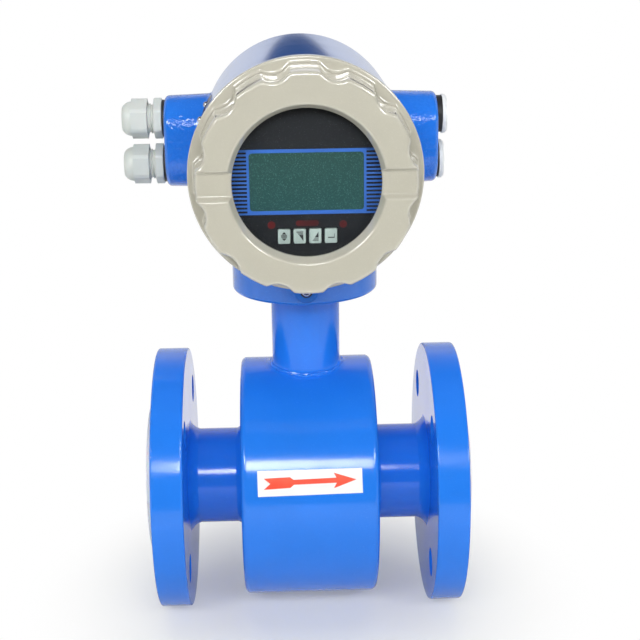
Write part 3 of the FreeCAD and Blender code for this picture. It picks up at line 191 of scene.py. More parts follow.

# In the meter's gloss the table glows white from the table up to the foot of the rim and again at the top of
# the rim behind;
# it glows dim in front, and dim near the meter as a painted shadow of the meter, so that the blue stays deep.
rim_foot = ranged(tree, sides["Z"], 0.39, 0.36, 0.03, 1.0)
rim_top = ranged(tree, sides["Z"], 0.56, 0.66, 0.0, 0.85)
top_behind = maths(tree, "MULTIPLY", rim_top, ranged(tree, sides["Y"], 0.0, 0.5))
rim = maths(tree, "MAXIMUM", rim_foot, top_behind)
in_front = ranged(tree, sides["Y"], -0.85, -0.70, 0.05, 1.0)
painted_shadow_near_meter = ranged(tree, away, 0.10, 0.32, 0.40, 1.0)
mirrored = maths(tree, "MULTIPLY", maths(tree, "MULTIPLY", rim, in_front), painted_shadow_near_meter)
level = maths(tree, "MAXIMUM", path["Is Camera Ray"], mirrored)
glow = add(tree, "ShaderNodeEmission", {"Color": (1, 1, 1, 1), "Strength": level}).outputs[0]
both = add(tree, "ShaderNodeMixShader", {0: plain_white, 1: matt, 2: glow}).outputs[0]
tree.links.new(both, tree.nodes["Material Output"].inputs["Surface"])
table.data.materials.append(laminate)

# The card is no lit paper: it glows and shows only in the meter's gloss, a painted reflection of a bright
# card.
card_radius, card_top = 0.60, 0.313
card = spun("white_card", [(card_radius, table_top), (card_radius, card_top)])
half_ring = bmesh.new()
half_ring.from_mesh(card.data)
bmesh.ops.delete(half_ring, geom=[vert for vert in half_ring.verts if vert.co.y < -0.01], context="VERTS")
half_ring.to_mesh(card.data)
half_ring.free()
card.visible_camera = card.visible_diffuse = card.visible_shadow = card.visible_transmission = False
card_glow, tree, shader = new_material("white_card")
tree.nodes.remove(shader)
card_mottle = noise(tree, add(tree, "ShaderNodeTexCoord").outputs["Object"], 9.0, 3.0)
pale = blended(tree, card_mottle, (0.66, 0.68, 0.72, 1), (0.74, 0.76, 0.80, 1))
shine = add(tree, "ShaderNodeEmission", {"Color": pale, "Strength": 1.0}).outputs[0]
tree.links.new(shine, tree.nodes["Material Output"].inputs["Surface"])
card.data.materials.append(card_glow)


def lamp(name, place, width, height, radiance, lights=True, mirrors=True):
    """Soft lamp aimed at the meter, which lights it, shows in its gloss, or both."""
    light = bpy.data.lights.new(name, "AREA")
    light.shape = "RECTANGLE"
    light.size, light.size_y = width, height
    light.energy = radiance * math.pi * width * height
    piece = linked(name, light)
    piece.location = place
    piece.rotation_euler = (meter_middle - Vector(place)).to_track_quat("-Z", "Y").to_euler()
    piece.visible_camera = False
    piece.visible_diffuse, piece.visible_glossy = lights, mirrors


meter_middle = Vector((0, -0.03, 0.10))
lamp("left_softbox", (-0.61, -1.90, 1.17), 1.17, 0.50, 13.2, mirrors=False)
lamp("right_softbox", (0.69, -1.90, 1.17), 1.17, 0.50, 11.2, mirrors=False)
lamp("overhead", (0, -0.1, 1.9), 1.4, 1.4, 1.5, mirrors=False)
lamp("left_strip", (-0.093, -1.95, 1.05), 0.305, 0.44, 20.0, lights=False)
lamp("right_strip", (0.134, -1.95, 1.05), 0.100, 0.44, 19.0, lights=False)
lamp("left_side_strip", (-1.15, -1.55, 1.05), 0.90, 0.50, 18.0, lights=False)
lamp("right_side_strip", (1.15, -1.55, 1.05), 0.90, 0.50, 16.0, lights=False)
lamp("front_strip", (0.0, -1.96, 1.06), 1.60, 0.60, 0.5, lights=False)

world = bpy.data.worlds.new("room")
bpy.context.scene.world = world
world.use_nodes = True
tree = world.node_tree
heading = add(tree, "ShaderNodeTexCoord").outputs["Generated"]
heading = add(tree, "ShaderNodeSeparateXYZ", {0: heading}).outputs
walls = blended(tree, ranged(tree, heading["Z"], -0.1, 0.9), (0.07, 0.07, 0.08, 1), (0.10, 0.10, 0.11, 1))
rear_wall = maths(tree, "MULTIPLY", ranged(tree, heading["Y"], 0.0, 0.3),
                  ranged(tree, heading["Z"], 0.45, 0.88, 0.8, 0.0))
room = blended(tree, rear_wall, walls, (1.0, 1.0, 1.0, 1))
tree.links.new(room, tree.nodes["Background"].inputs["Color"])
tree.nodes["Background"].inputs["Strength"].default_value = 1.0

# ---------------------------------------------------------------------------------------
# Flow tube, flanges, coil housing and neck: carbon steel, welded up and sprayed as one with
# glossy blue enamel, which dries with a fine orange peel and a few dust nibs.
# ---------------------------------------------------------------------------------------


def effect_group(name, colours, numbers, directions=()):
    """Starts a reusable effect; returns its tree, its inputs by name and its outputs by name."""
    group = bpy.data.node_groups.new(name, "ShaderNodeTree")
    for kind, labels in (("Color", colours), ("Float", numbers), ("Vector", directions)):
        for label in labels:
            group.interface.new_socket(label, in_out="INPUT", socket_type=f"NodeSocket{kind}")
    for label, kind in (("Colour", "Color"), ("Roughness", "Float"), ("Height", "Float")):
        group.interface.new_socket(label, in_out="OUTPUT", socket_type=f"NodeSocket{kind}")
    return group, group.nodes.new("NodeGroupInput").outputs, group.nodes.new("NodeGroupOutput").inputs


def put_out(group, result, colour, roughness, height):
    """Links what an effect has worked out to its outputs, and returns the effect."""
    for label, output in (("Colour", colour), ("Roughness", roughness), ("Height", height)):
        group.links.new(output, result[label])
    return group


def sprayed_enamel():
    """Sprayed enamel: orange peel, slight shade changes and bright dust nibs."""
    group, given, result = effect_group("sprayed_enamel", ("Colour", "Nib Colour"), (
        "Shade", "Peel Scale", "Nibs", "Base Roughness", "Coarse Beyond"))
    place = add(group, "ShaderNodeTexCoord").outputs["Object"]
    side = maths(group, "ABSOLUTE", add(group, "ShaderNodeSeparateXYZ", {0: place}).outputs["X"])
    past = maths(group, "SUBTRACT", side, given["Coarse Beyond"])
    skin = ranged(group, past, 0.0, 0.006, 0.02, 1.0)
    tone = ranged(group, noise(group, place, 22.0, 3.0), 0.25, 0.75, 1.0, 0.0)
    darkness = maths(group, "MULTIPLY", tone, given["Shade"])
    shade = blended(group, darkness, given["Colour"], (0.0, 0.0, 0.0, 1))
    peel = noise(group, place, given["Peel Scale"], 2.0, Roughness=0.35)
    dust = add(group, "ShaderNodeTexVoronoi", {"Vector": place, "Scale": 2400.0, "Randomness": 1.0}).outputs
    pick = add(group, "ShaderNodeSeparateColor", {"Color": dust["Color"]}).outputs["Red"]
    nib = maths(group, "MULTIPLY", maths(group, "LESS_THAN", pick, given["Nibs"]),
                maths(group, "LESS_THAN", dust["Distance"], 0.30))
    colour = blended(group, nib, shade, given["Nib Colour"])
    gloss = maths(group, "MULTIPLY_ADD", tone, 0.05, given["Base Roughness"])
    raised = maths(group, "MULTIPLY_ADD", nib, 0.4, peel)
    return put_out(group, result, colour, gloss, maths(group, "MULTIPLY", raised, skin))


def finish_with(name, effect, values, relief, **plain):
    """Material with an effect's colour, roughness and relief; plain sets the shader's own sockets."""
    material, tree, shader = new_material(name)
    surface = add(tree, "ShaderNodeGroup", values, node_tree=effect).outputs
    bump = add(tree, "ShaderNodeBump", {"Height": surface["Height"], "Distance": relief})
    tree.links.new(surface["Colour"], shader.inputs["Base Color"])
    tree.links.new(surface["Roughness"], shader.inputs["Roughness"])
    tree.links.new(bump.outputs["Normal"], shader.inputs["Normal"])
    for socket, value in plain.items():
        shader.inputs[socket.replace("_", " ")].default_value = value
    return material


def clad(material, *nodes):
    """Gives CAD nodes their finish."""
    for node in nodes:
        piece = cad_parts[node]
        if not piece.material_slots:
            piece.data.materials.append(material)
        for slot in piece.material_slots:
            slot.material = material


enamel = sprayed_enamel()
blue_enamel = finish_with("blue_enamel", enamel, {
    "Colour": (0.016, 0.200, 0.830, 1), "Nib Colour": (0.05, 0.28, 0.90, 1), "Shade": 0.08,
    "Peel Scale": 900.0, "Nibs": 0.06, "Base Roughness": 0.12, "Coarse Beyond": -1.0}, 0.000020,
    Coat_Weight=0.15, Coat_Roughness=0.05)
clad(blue_enamel, "measuring_tube", "inlet_flange", "outlet_flange", "coil_shell", "inlet_end_plate",
     "outlet_end_plate", "neck_tube", "neck_collar")

# ---------------------------------------------------------------------------------------
# Neck weld: the hand-laid bead round the foot of the neck, uneven in width and rippled where
# the welder paused, under the same paint.
# ---------------------------------------------------------------------------------------
mm = 0.001
neck_radius, shell_crown = 21.2 * mm, 75.6 * mm
bead_steps, bead_sides, bead_inset = 600, 12, 0.9 * mm
points = []
for step in range(bead_steps):
    angle = math.tau * step / bead_steps
    x, y = neck_radius * math.cos(angle), neck_radius * math.sin(angle)
    z = math.sqrt(shell_crown ** 2 - y ** 2)
    off_neck = Vector((math.cos(angle), math.sin(angle), 0))
    off_shell = Vector((0, y, z)) / shell_crown
    wander = 0.25 * math.sin(7 * angle + 1) + 0.20 * math.sin(17 * angle + 4)
    centre = Vector((x, y, z)) + bead_inset * ((1 + wander) * off_neck + (1 - wander) * off_shell)
    width = 1.25 + 0.22 * math.sin(5 * angle + 2) + 0.16 * math.sin(13 * angle)
    ripple = 0.13 * abs(math.sin(27 * angle))
    for side in range(bead_sides):
        round_bead = math.tau * side / bead_sides
        outward = math.cos(round_bead) * off_shell + math.sin(round_bead) * off_neck
        points.append(centre + (width + ripple) * mm * outward)
neck_weld = modelled("neck_weld", points, between_rings(bead_steps, bead_sides, shut=True), sharp=180)
neck_weld.data.materials.append(blue_enamel)
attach(neck_weld, "sensor")

# ---------------------------------------------------------------------------------------
# Liner: white fluoropolymer drawn through the tube and flared over both flange faces, faintly
# waxy, with the turning marks of the facing cut on the flares.
# ---------------------------------------------------------------------------------------


def turned_surface():
    """Machined surface: fine rings about the flow axis or a chosen one, with light smears."""
    group, given, result = effect_group("turned_surface", ("Colour", "Dark Colour"),
                                        ("Rings", "Base Roughness"), ("Centre", "Across"))
    place = add(group, "ShaderNodeTexCoord").outputs["Object"]
    offset = vectors(group, "SUBTRACT", place, given["Centre"])
    radius = vectors(group, "LENGTH", vectors(group, "MULTIPLY", offset, given["Across"]))
    wave = maths(group, "SINE", maths(group, "MULTIPLY", radius, given["Rings"]))
    smear = ranged(group, noise(group, place, 90.0, 4.0), 0.3, 0.75)
    colour = blended(group, smear, given["Colour"], given["Dark Colour"])
    gloss = maths(group, "MULTIPLY_ADD", smear, 0.08, given["Base Roughness"])
    return put_out(group, result, colour, gloss, wave)


turned = turned_surface()
flow_axis, head_axis = (0, 0, 0), (0, 0, 210 * mm)
about_flow, about_head = (0, 1, 1), (1, 0, 1)
waxy_white = finish_with("waxy_white", turned, {
    "Colour": (0.83, 0.83, 0.81, 1), "Dark Colour": (0.76, 0.77, 0.76, 1), "Centre": flow_axis,
    "Across": about_flow, "Rings": 9000.0, "Base Roughness": 0.38}, 0.00002, Subsurface_Weight=0.15,
    Subsurface_Scale=0.002)
clad(waxy_white, "liner")

# ---------------------------------------------------------------------------------------
# Magnet: mild steel return ring and pole pieces, and two coils wound from enamelled copper
# wire laid in even turns.
# ---------------------------------------------------------------------------------------
mild_steel = finish_with("mild_steel", turned, {
    "Colour": (0.36, 0.36, 0.37, 1), "Dark Colour": (0.22, 0.22, 0.23, 1), "Centre": flow_axis,
    "Across": about_flow, "Rings": 5200.0, "Base Roughness": 0.35}, 0.00002, Metallic=1.0)
clad(mild_steel, "magnet_yoke", "upper_pole_piece", "lower_pole_piece")


def wound_wire():
    """Layers of round wire side by side, each turn darker in its groove with painted shade."""
    group, given, result = effect_group("wound_wire", ("Colour", "Painted Groove Shade"),
                                        ("Turns", "Base Roughness"))
    place = add(group, "ShaderNodeTexCoord").outputs["Object"]
    height = add(group, "ShaderNodeSeparateXYZ", {0: place}).outputs["Z"]
    wave = maths(group, "SINE", maths(group, "MULTIPLY", height, given["Turns"]))
    crown = ranged(group, wave, -1.0, 0.4)
    colour = blended(group, crown, given["Painted Groove Shade"], given["Colour"])
    gloss = maths(group, "MULTIPLY_ADD", noise(group, place, 160.0, 2.0), 0.2, given["Base Roughness"])
    return put_out(group, result, colour, gloss, crown)


# The dark groove colour is painted shade between the turns, not a colour of the wire.
copper_wire = finish_with("copper_wire", wound_wire(), {
    "Colour": (0.70, 0.27, 0.09, 1), "Painted Groove Shade": (0.18, 0.05, 0.02, 1), "Turns": 9500.0,
    "Base Roughness": 0.2}, 0.0002, Metallic=0.9)
clad(copper_wire, "upper_coil", "lower_coil")

# ---------------------------------------------------------------------------------------
# Electrodes: stainless pins with welded bosses and nuts, kept off the tube by turned plastic
# bushes.
# ---------------------------------------------------------------------------------------
stainless = finish_with("stainless", turned, {
    "Colour": (0.66, 0.66, 0.67, 1), "Dark Colour": (0.52, 0.52, 0.53, 1), "Centre": flow_axis,
    "Across": about_head, "Rings": 12000.0, "Base Roughness": 0.18}, 0.00001, Metallic=1.0)
clad(stainless, "front_electrode", "rear_electrode", "electrode_bosses", "electrode_nuts")


def moulded_plastic():
    """Injection moulding: spark-eroded grain, faint flow clouds and an even half-matt skin."""
    group, given, result = effect_group("moulded_plastic", ("Colour", "Cloud Colour"),
                                        ("Grain Scale", "Base Roughness"))
    place = add(group, "ShaderNodeTexCoord").outputs["Object"]
    cloud = ranged(group, noise(group, place, 55.0, 2.0), 0.35, 0.70)
    grain = noise(group, place, given["Grain Scale"], 3.0)
    colour = blended(group, cloud, given["Colour"], given["Cloud Colour"])
    gloss = maths(group, "MULTIPLY_ADD", grain, 0.12, given["Base Roughness"])
    return put_out(group, result, colour, gloss, grain)


moulded = moulded_plastic()


def moulding(name, colour, cloud_colour, grain_scale, roughness, relief, **plain):
    """Grained and faintly clouded finish, for plastic, rubber, vinyl and ink."""
    return finish_with(name, moulded, {
        "Colour": (*colour, 1), "Cloud Colour": (*cloud_colour, 1), "Grain Scale": grain_scale,
        "Base Roughness": roughness}, relief, **plain)


bush_plastic = moulding("bush_plastic", (0.78, 0.74, 0.64), (0.70, 0.66, 0.56), 900.0, 0.40, 0.00002)
clad(bush_plastic, "electrode_bushes")

# ---------------------------------------------------------------------------------------
# Seals: black nitrile rings and washers wherever the head, covers, glands and plugs close,
# moulded with a dull skin.
# ---------------------------------------------------------------------------------------
black_rubber = moulding("black_rubber", (0.012, 0.012, 0.013), (0.025, 0.025, 0.027), 1500.0, 0.45, 0.00004)
clad(black_rubber, "collar_seal", "front_cover_seal", "rear_cover_seal", "window_gasket",
     "upper_gland_seal", "lower_gland_seal", "gland_gaskets", "plug_rings", "lock_washers")

# ---------------------------------------------------------------------------------------
# Flow arrow: white vinyl sticker wrapped on the coil housing, slightly askew, printed with a
# red feathered arrow that points from inlet to outlet.
# ---------------------------------------------------------------------------------------
shell_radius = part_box("coil_shell")[1].y
vinyl_thick = 0.15 * mm


def from_shape(name, shape):
    """Mesh object of a shape that is worked out, with its faces turned outwards."""
    bmesh.ops.recalc_face_normals(shape, faces=shape.faces[:])
    mesh = bpy.data.meshes.new(name)
    shape.to_mesh(mesh)
    shape.free()
    return linked(name, mesh)


def wrapped(name, outline, lift, thick):
    """Thin sheet cut to an outline of (along the flow, round the shell) and laid on the shell."""
    shape = bmesh.new()
    flat = shape.faces.new([shape.verts.new((x * mm, y * mm, 0)) for x, y in outline])
    shape.normal_update()
    bmesh.ops.triangulate(shape, faces=[flat], ngon_method="EAR_CLIP")
    low = min(y for _, y in outline)
    high = max(y for _, y in outline)
    for step in range(1, math.ceil(high - low)):
        bmesh.ops.bisect_plane(shape, geom=[*shape.verts, *shape.edges, *shape.faces],
                               plane_co=(0, (low + step) * mm, 0), plane_no=(0, 1, 0))
    bmesh.ops.solidify(shape, geom=shape.faces[:], thickness=-thick)
    for vert in shape.verts:
        along, round_shell, up = vert.co
        angle = round_shell / shell_radius
        radius = shell_radius + lift + up
        vert.co = (along, -radius * math.cos(angle), radius * math.sin(angle))
    return from_shape(name, shape)


label = wrapped("flow_label", [(-31.2, 16.0), (31.1, 17.0), (30.9, 31.7), (-31.4, 31.3)],
                0.02 * mm, vinyl_thick)
arrow = wrapped("flow_arrow", [
    (-27.7, 26.8), (-23.8, 23.6), (-27.7, 20.2), (-11.9, 21.0), (-9.7, 22.8), (15.7, 23.4), (14.0, 20.2),
    (27.4, 25.1), (14.0, 29.4), (15.5, 26.4), (-9.9, 25.7), (-12.1, 27.3)],
    0.02 * mm + vinyl_thick, 0.04 * mm)
white_vinyl = moulding("white_vinyl", (0.88, 0.88, 0.87), (0.84, 0.84, 0.84), 500.0, 0.25, 0.00002)
red_ink = moulding("red_ink", (0.88, 0.055, 0.018), (0.93, 0.100, 0.040), 700.0, 0.30, 0.00001)
for sticker, ink in ((label, white_vinyl), (arrow, red_ink)):
    sticker.data.materials.append(ink)
    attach(sticker, "sensor")

# ---------------------------------------------------------------------------------------
# Head housing: aluminium die casting sprayed with the same blue enamel, which lies over a
# coarser cast skin on the conduit boxes.
# ---------------------------------------------------------------------------------------
blue_casting = finish_with("blue_casting", enamel, {
    "Colour": (0.018, 0.185, 0.760, 1), "Nib Colour": (0.08, 0.34, 0.92, 1), "Shade": 0.10,
    "Peel Scale": 520.0, "Nibs": 0.10, "Base Roughness": 0.05, "Coarse Beyond": 0.062}, 0.00045,
    Specular_IOR_Level=0.50, Coat_Weight=0.40, Coat_Roughness=0.03)
clad(blue_casting, "housing")

# ---------------------------------------------------------------------------------------
# Nameplate: narrow bare plate, dark with a bright border, bent round the drum on its inlet
# side and held by two round-headed rivets, with the earth screw and its washer below it.
# ---------------------------------------------------------------------------------------
drum_radius = 63.3 * mm
plate_front, plate_back = -58 * mm, 14 * mm
plate_top, plate_foot = math.radians(149.5), math.radians(166.5)
plate_thick, plate_border = 0.8 * mm, 0.9 * mm
panel_sunk, panel_thick = 0.05 * mm, 0.12 * mm


def bent_plate(name, front, back, top, foot, inner, thick):
    """Sheet bent round the drum between two places along it and two angles about it."""
    steps = 32
    points = []
    for step in range(steps + 1):
        angle = top + (foot - top) * step / steps
        for radius, along in ((inner, front), (inner, back), (inner + thick, back), (inner + thick, front)):
            points.append((radius * math.cos(angle), along, head_axis[2] + radius * math.sin(angle)))
    last = steps * 4
    ends = [(0, 3, 2, 1), (last, last + 1, last + 2, last + 3)]
    return modelled(name, points, between_rings(steps + 1, 4) + ends)


border_angle = plate_border / drum_radius
plate = bent_plate("nameplate", plate_front, plate_back, plate_top, plate_foot, drum_radius, plate_thick)
panel = bent_plate("nameplate_panel", plate_front + plate_border, plate_back - plate_border,
                   plate_top + border_angle, plate_foot - border_angle,
                   drum_radius + plate_thick - panel_sunk, panel_thick)
navy_anodising = finish_with("navy_anodising", turned, {
    "Colour": (0.012, 0.014, 0.035, 1), "Dark Colour": (0.008, 0.009, 0.022, 1), "Centre": head_axis,
    "Across": (0, 1, 0), "Rings": 9000.0, "Base Roughness": 0.60}, 0.00001, Specular_IOR_Level=0.12)
plate.data.materials.append(stainless)
panel.data.materials.append(navy_anodising)
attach(plate, "head")
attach(panel, "head")


def dome_head(name, corners, angle, along):
    """Round fastener head turned from (radius, height) corners in mm, standing on the drum."""
    head = spun(name, [(radius * mm, height * mm) for radius, height in corners], steps=24)
    out = Vector((math.cos(angle), 0, math.sin(angle)))
    seat = Vector((0, along, head_axis[2])) + drum_radius * out
    head.matrix_world = Matrix.Translation(seat) @ out.to_track_quat("Z", "Y").to_matrix().to_4x4()
    head.data.materials.append(stainless)
    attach(head, "head")


rivet_inset, rivet_angle = 3.0 * mm, math.radians(155)
rivet = [(1.9, 0), (1.9, 0.8), (1.9, 1.2), (1.5, 1.9), (0.9, 2.3), (0.01, 2.4)]
earth_screw = [(4.2, 0), (4.2, 0.8), (2.9, 0.8), (2.9, 2.2), (2.4, 2.9), (1.3, 3.2), (1.1, 1.8), (0.01, 1.8)]
dome_head("nameplate_rivet_1", rivet, rivet_angle, plate_back - rivet_inset)
dome_head("nameplate_rivet_2", rivet, rivet_angle, plate_front + rivet_inset)
dome_head("earth_screw", earth_screw, math.radians(171.5), 6 * mm)

# ---------------------------------------------------------------------------------------
# Lock screws: three stainless button screws with hexagon sockets that hold the head on its
# collar, each on a black washer.
# ---------------------------------------------------------------------------------------
lock_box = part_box("lock_screws")
lock_height = (lock_box[0].z + lock_box[1].z) / 2
lock_face = -lock_box[0].y
head_round, head_thick, shank_round = 2.7 * mm, 2.2 * mm, 2.5 * mm
shank_end = 33.0 * mm
socket_round, socket_deep = 1.55 * mm, 1.3 * mm
half_flat = math.pi / 6


def off_flat(angle):
    """Angle from the middle of the nearest flat of a hexagon."""
    return (angle + half_flat) % (2 * half_flat) - half_flat


def socket_screw(name):
    """Button head with a six-sided socket, and its shank, lying along minus Y."""
    steps = 48
    rows = [(socket_round, lock_face - socket_deep, True), (socket_round, lock_face - 0.08 * mm, True),
            (socket_round + 0.15 * mm, lock_face, False), (head_round * 0.72, lock_face, False),
            (head_round * 0.93, lock_face - 0.45 * mm, False), (head_round, lock_face - 1.1 * mm, False),
            (head_round, lock_face - head_thick, False), (shank_round, lock_face - head_thick, False),
            (shank_round, shank_end, False)]
    points = []
    for radius, along, six_sided in rows:
        for step in range(steps):
            angle = math.tau * step / steps
            reach = radius * math.cos(half_flat) / math.cos(off_flat(angle)) if six_sided else radius
            points.append((reach * math.sin(angle), -along, reach * math.cos(angle)))
    socket_floor = tuple(range(steps))
    shank_tip = tuple(len(points) - steps + step for step in reversed(range(steps)))
    return modelled(name, points, [*between_rings(len(rows), steps), socket_floor, shank_tip])


for number in range(3):
    screw = socket_screw(f"lock_screw_{number + 1}")
    screw.matrix_world = (Matrix.Translation((0, 0, lock_height))
                          @ Matrix.Rotation(math.tau * number / 3, 4, "Z"))
    screw.data.materials.append(stainless)
    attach(screw, "head")
    if number == 0:
        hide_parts("lock_screws")

# ---------------------------------------------------------------------------------------
# Cable glands: light grey polyamide. The nut and seal are as turned; the body gets its real
# coarse moulded thread between the collar and the nut.
# ---------------------------------------------------------------------------------------
gland_grey = moulding("gland_grey", (0.60, 0.63, 0.60), (0.56, 0.60, 0.575), 1300.0, 0.36, 0.00004,
                      Subsurface_Weight=0.05, Subsurface_Scale=0.001)
clad(gland_grey, "upper_gland_body", "lower_gland_body", "upper_gland_nut", "lower_gland_nut")
collar_foot, collar_end = -87.5 * mm, -92.7 * mm
hexagon_reach, hexagon_edge, hexagon_corner = 11.5 * mm, 0.45 * mm, 1.125
thread_end = collar_end - 9.0 * mm
thread_pitch, thread_root, thread_crest, thread_flank = 2.2 * mm, 8.6 * mm, 9.5 * mm, 3.2
shank, claw, bore = 9.85 * mm, 8.4 * mm, 6.3 * mm
seal_bore, seal_foot = 7.9 * mm, thread_end + 2.0 * mm


def threaded_body(side):
    """Gland body turned along X: shank, hexagon collar, coarse thread and claws, with its bore."""
    low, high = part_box(f"{side}_gland_body")
    middle_y, middle_z = (low.y + high.y) / 2, (low.z + high.z) / 2
    rows = [(bore, high.x, ""), (shank, high.x, ""), (shank, collar_foot, ""),
            (hexagon_reach - hexagon_edge, collar_foot, "hexagon"),
            (hexagon_reach, collar_foot - hexagon_edge, "hexagon"),
            (hexagon_reach, collar_end + hexagon_edge, "hexagon"),
            (hexagon_reach - hexagon_edge, collar_end, "hexagon"), (thread_root, collar_end, "")]
    length, rows_a_turn = collar_end - thread_end, 16
    count = round(length / thread_pitch * rows_a_turn)
    rows += [(thread_crest, collar_end - length * step / count, "thread") for step in range(1, count)]
    rows += [(thread_root, thread_end, ""), (claw, thread_end, ""), (claw, low.x, ""),
             (seal_bore, low.x, ""), (seal_bore, seal_foot, ""), (bore, seal_foot, "")]
    steps = 96
    points = []
    for radius, along, form in rows:
        for step in range(steps):
            angle = math.tau * step / steps
            reach = radius
            if form == "hexagon":
                reach = min(radius / math.cos(off_flat(angle)), radius * hexagon_corner)
            elif form == "thread":
                phase = (along / thread_pitch - angle / math.tau) % 1
                ridge = min(max(thread_flank * (0.5 - abs(2 * phase - 1)), 0), 1)
                reach = thread_root + (thread_crest - thread_root) * ridge
            points.append((along, middle_y + reach * math.cos(angle), middle_z + reach * math.sin(angle)))
    faces = between_rings(len(rows), steps, shut=True)
    piece = modelled(f"{side}_threaded_body", points, faces, sharp=32)
    piece.data.materials.append(gland_grey)
    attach(piece, "head")
    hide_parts(f"{side}_gland_body")


threaded_body("upper")
threaded_body("lower")

# ---------------------------------------------------------------------------------------
# Blanking plugs: white nylon discs, dished and slotted for a coin, screwed into the two
# unused entries on black rings.
# ---------------------------------------------------------------------------------------
plug_white = moulding("plug_white", (0.78, 0.80, 0.80), (0.74, 0.76, 0.765), 1200.0, 0.34, 0.00003)
clad(plug_white, "upper_blank_plug", "lower_blank_plug")

# ---------------------------------------------------------------------------------------
# Electronics: three round boards on zinc spacers behind the display board, a potted mains
# transformer, and the terminal block with its row of screws at the back.
# ---------------------------------------------------------------------------------------


def printed_board():
    """Solder-masked laminate: lighter copper tracks on a grid, and tinned pads."""
    group, given, result = effect_group("printed_board", ("Colour", "Track Colour"),
                                        ("Pitch", "Base Roughness"))
    place = add(group, "ShaderNodeTexCoord").outputs["Object"]
    stepped = vectors(group, "SNAP", place, (0.0025, 0.5, 0.0025))
    chance = add(group, "ShaderNodeTexWhiteNoise", {"Vector": stepped}).outputs["Value"]
    cells = add(group, "ShaderNodeTexBrick", {"Vector": place, "Scale": given["Pitch"], "Mortar Size": 0.06})
    track = maths(group, "GREATER_THAN", chance, 0.55)
    line = maths(group, "MULTIPLY", cells.outputs["Fac"], track)
    colour = blended(group, line, given["Colour"], given["Track Colour"])
    gloss = maths(group, "MULTIPLY_ADD", chance, 0.05, given["Base Roughness"])
    return put_out(group, result, colour, gloss, line)


board_green = finish_with("board_green", printed_board(), {
    "Colour": (0.012, 0.10, 0.035, 1), "Track Colour": (0.03, 0.20, 0.07, 1), "Pitch": 260.0,
    "Base Roughness": 0.28}, 0.00004)
clad(board_green, "power_board", "signal_board", "processor_board", "display_board")
zinc = finish_with("zinc", turned, {
    "Colour": (0.58, 0.59, 0.60, 1), "Dark Colour": (0.45, 0.46, 0.48, 1), "Centre": head_axis,
    "Across": about_head, "Rings": 9000.0, "Base Roughness": 0.25}, 0.00001, Metallic=1.0)
clad(zinc, "board_spacers", "board_screws", "terminal_screws", "glass_retainer")
yellow_tape = moulding("yellow_tape", (0.62, 0.45, 0.05), (0.50, 0.36, 0.04), 300.0, 0.30, 0.00005)
clad(yellow_tape, "mains_transformer")
terminal_green = moulding("terminal_green", (0.02, 0.24, 0.08), (0.016, 0.20, 0.07), 900.0, 0.38, 0.00003)
clad(terminal_green, "terminal_block")

# ---------------------------------------------------------------------------------------
# Display: black printed panel with a blue frame and side stripes round the dark green liquid
# crystal screen, a dark red infrared window and two red lamps.
# ---------------------------------------------------------------------------------------
panel_black = finish_with("panel_black", enamel, {
    "Colour": (0.0060, 0.0072, 0.0105, 1), "Nib Colour": (0.055, 0.062, 0.072, 1), "Shade": 0.25,
    "Peel Scale": 900.0, "Nibs": 0.15, "Base Roughness": 0.38, "Coarse Beyond": -1.0}, 0.00002,
    Specular_IOR_Level=0.3)
clad(panel_black, "display_panel")
red_lens = moulding("red_lens", (0.045, 0.0025, 0.004), (0.12, 0.003, 0.005), 400.0, 0.25, 0.00003)
clad(red_lens, "infrared_window", "status_lamps")


def liquid_crystal():
    """Switched-off screen: dark green, a shade less blue near its top, with a fine sparkle."""
    group, given, result = effect_group("liquid_crystal", ("Colour", "Top Colour", "Spark Colour"),
                                        ("Foot", "Head", "Base Roughness"))
    place = add(group, "ShaderNodeTexCoord").outputs["Object"]
    height = add(group, "ShaderNodeSeparateXYZ", {0: place}).outputs["Z"]
    dots = noise(group, place, 1500.0, 1.0)
    spark = ranged(group, dots, 0.55, 0.80)
    tone = blended(group, ranged(group, height, given["Foot"], given["Head"]),
                   given["Colour"], given["Top Colour"])
    colour = blended(group, spark, tone, given["Spark Colour"])
    gloss = maths(group, "MULTIPLY_ADD", spark, 0.1, given["Base Roughness"])
    return put_out(group, result, colour, gloss, dots)


screen_low, screen_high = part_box("lcd_module")
screen_green = finish_with("screen_green", liquid_crystal(), {
    "Colour": (0.012, 0.064, 0.068, 1), "Top Colour": (0.016, 0.060, 0.056, 1),
    "Spark Colour": (0.06, 0.17, 0.16, 1), "Foot": screen_low.z, "Head": screen_high.z,
    "Base Roughness": 0.30}, 0.00001)
clad(screen_green, "lcd_module")

panel_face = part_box("display_panel")[0].y
print_edge = 41.0 * mm
ink_lift, ink_thick = 0.01 * mm, 0.03 * mm
band_foot, band_top = -18.0 * mm, 17.2 * mm
screen_wide, screen_foot, screen_top, screen_round = 61.3 * mm, -15.9 * mm, 15.3 * mm, 1.8 * mm
frame_wide = 1.3 * mm
stripe_pitch, stripe_black = 2.12 * mm, 1.1 * mm


def printed(name, shapes, lift):
    """Ink on the panel face: each shape is a list of (across, up) from the head's axis."""
    shape = bmesh.new()
    for outline in shapes:
        shape.faces.new([shape.verts.new((x, 0, z)) for x, z in outline])
    shape.normal_update()
    bmesh.ops.triangulate(shape, faces=shape.faces[:], ngon_method="EAR_CLIP")
    for vert in shape.verts:
        vert.co.y = panel_face - lift
        vert.co.z += head_axis[2]
    solid = bmesh.ops.extrude_face_region(shape, geom=shape.faces[:])
    front = [part for part in solid["geom"] if isinstance(part, bmesh.types.BMVert)]
    bmesh.ops.translate(shape, verts=front, vec=(0, -ink_thick, 0))
    return from_shape(name, shape)


def arc_strip(low, high, start, side):
    """Strip between two heights from an upright line out to the round edge of the print."""
    steps = 6
    heights = [low + (high - low) * step / steps for step in range(steps + 1)]
    rim = [(side * math.sqrt(print_edge ** 2 - up ** 2), up) for up in heights]
    return [(side * start, low), *rim, (side * start, high)]


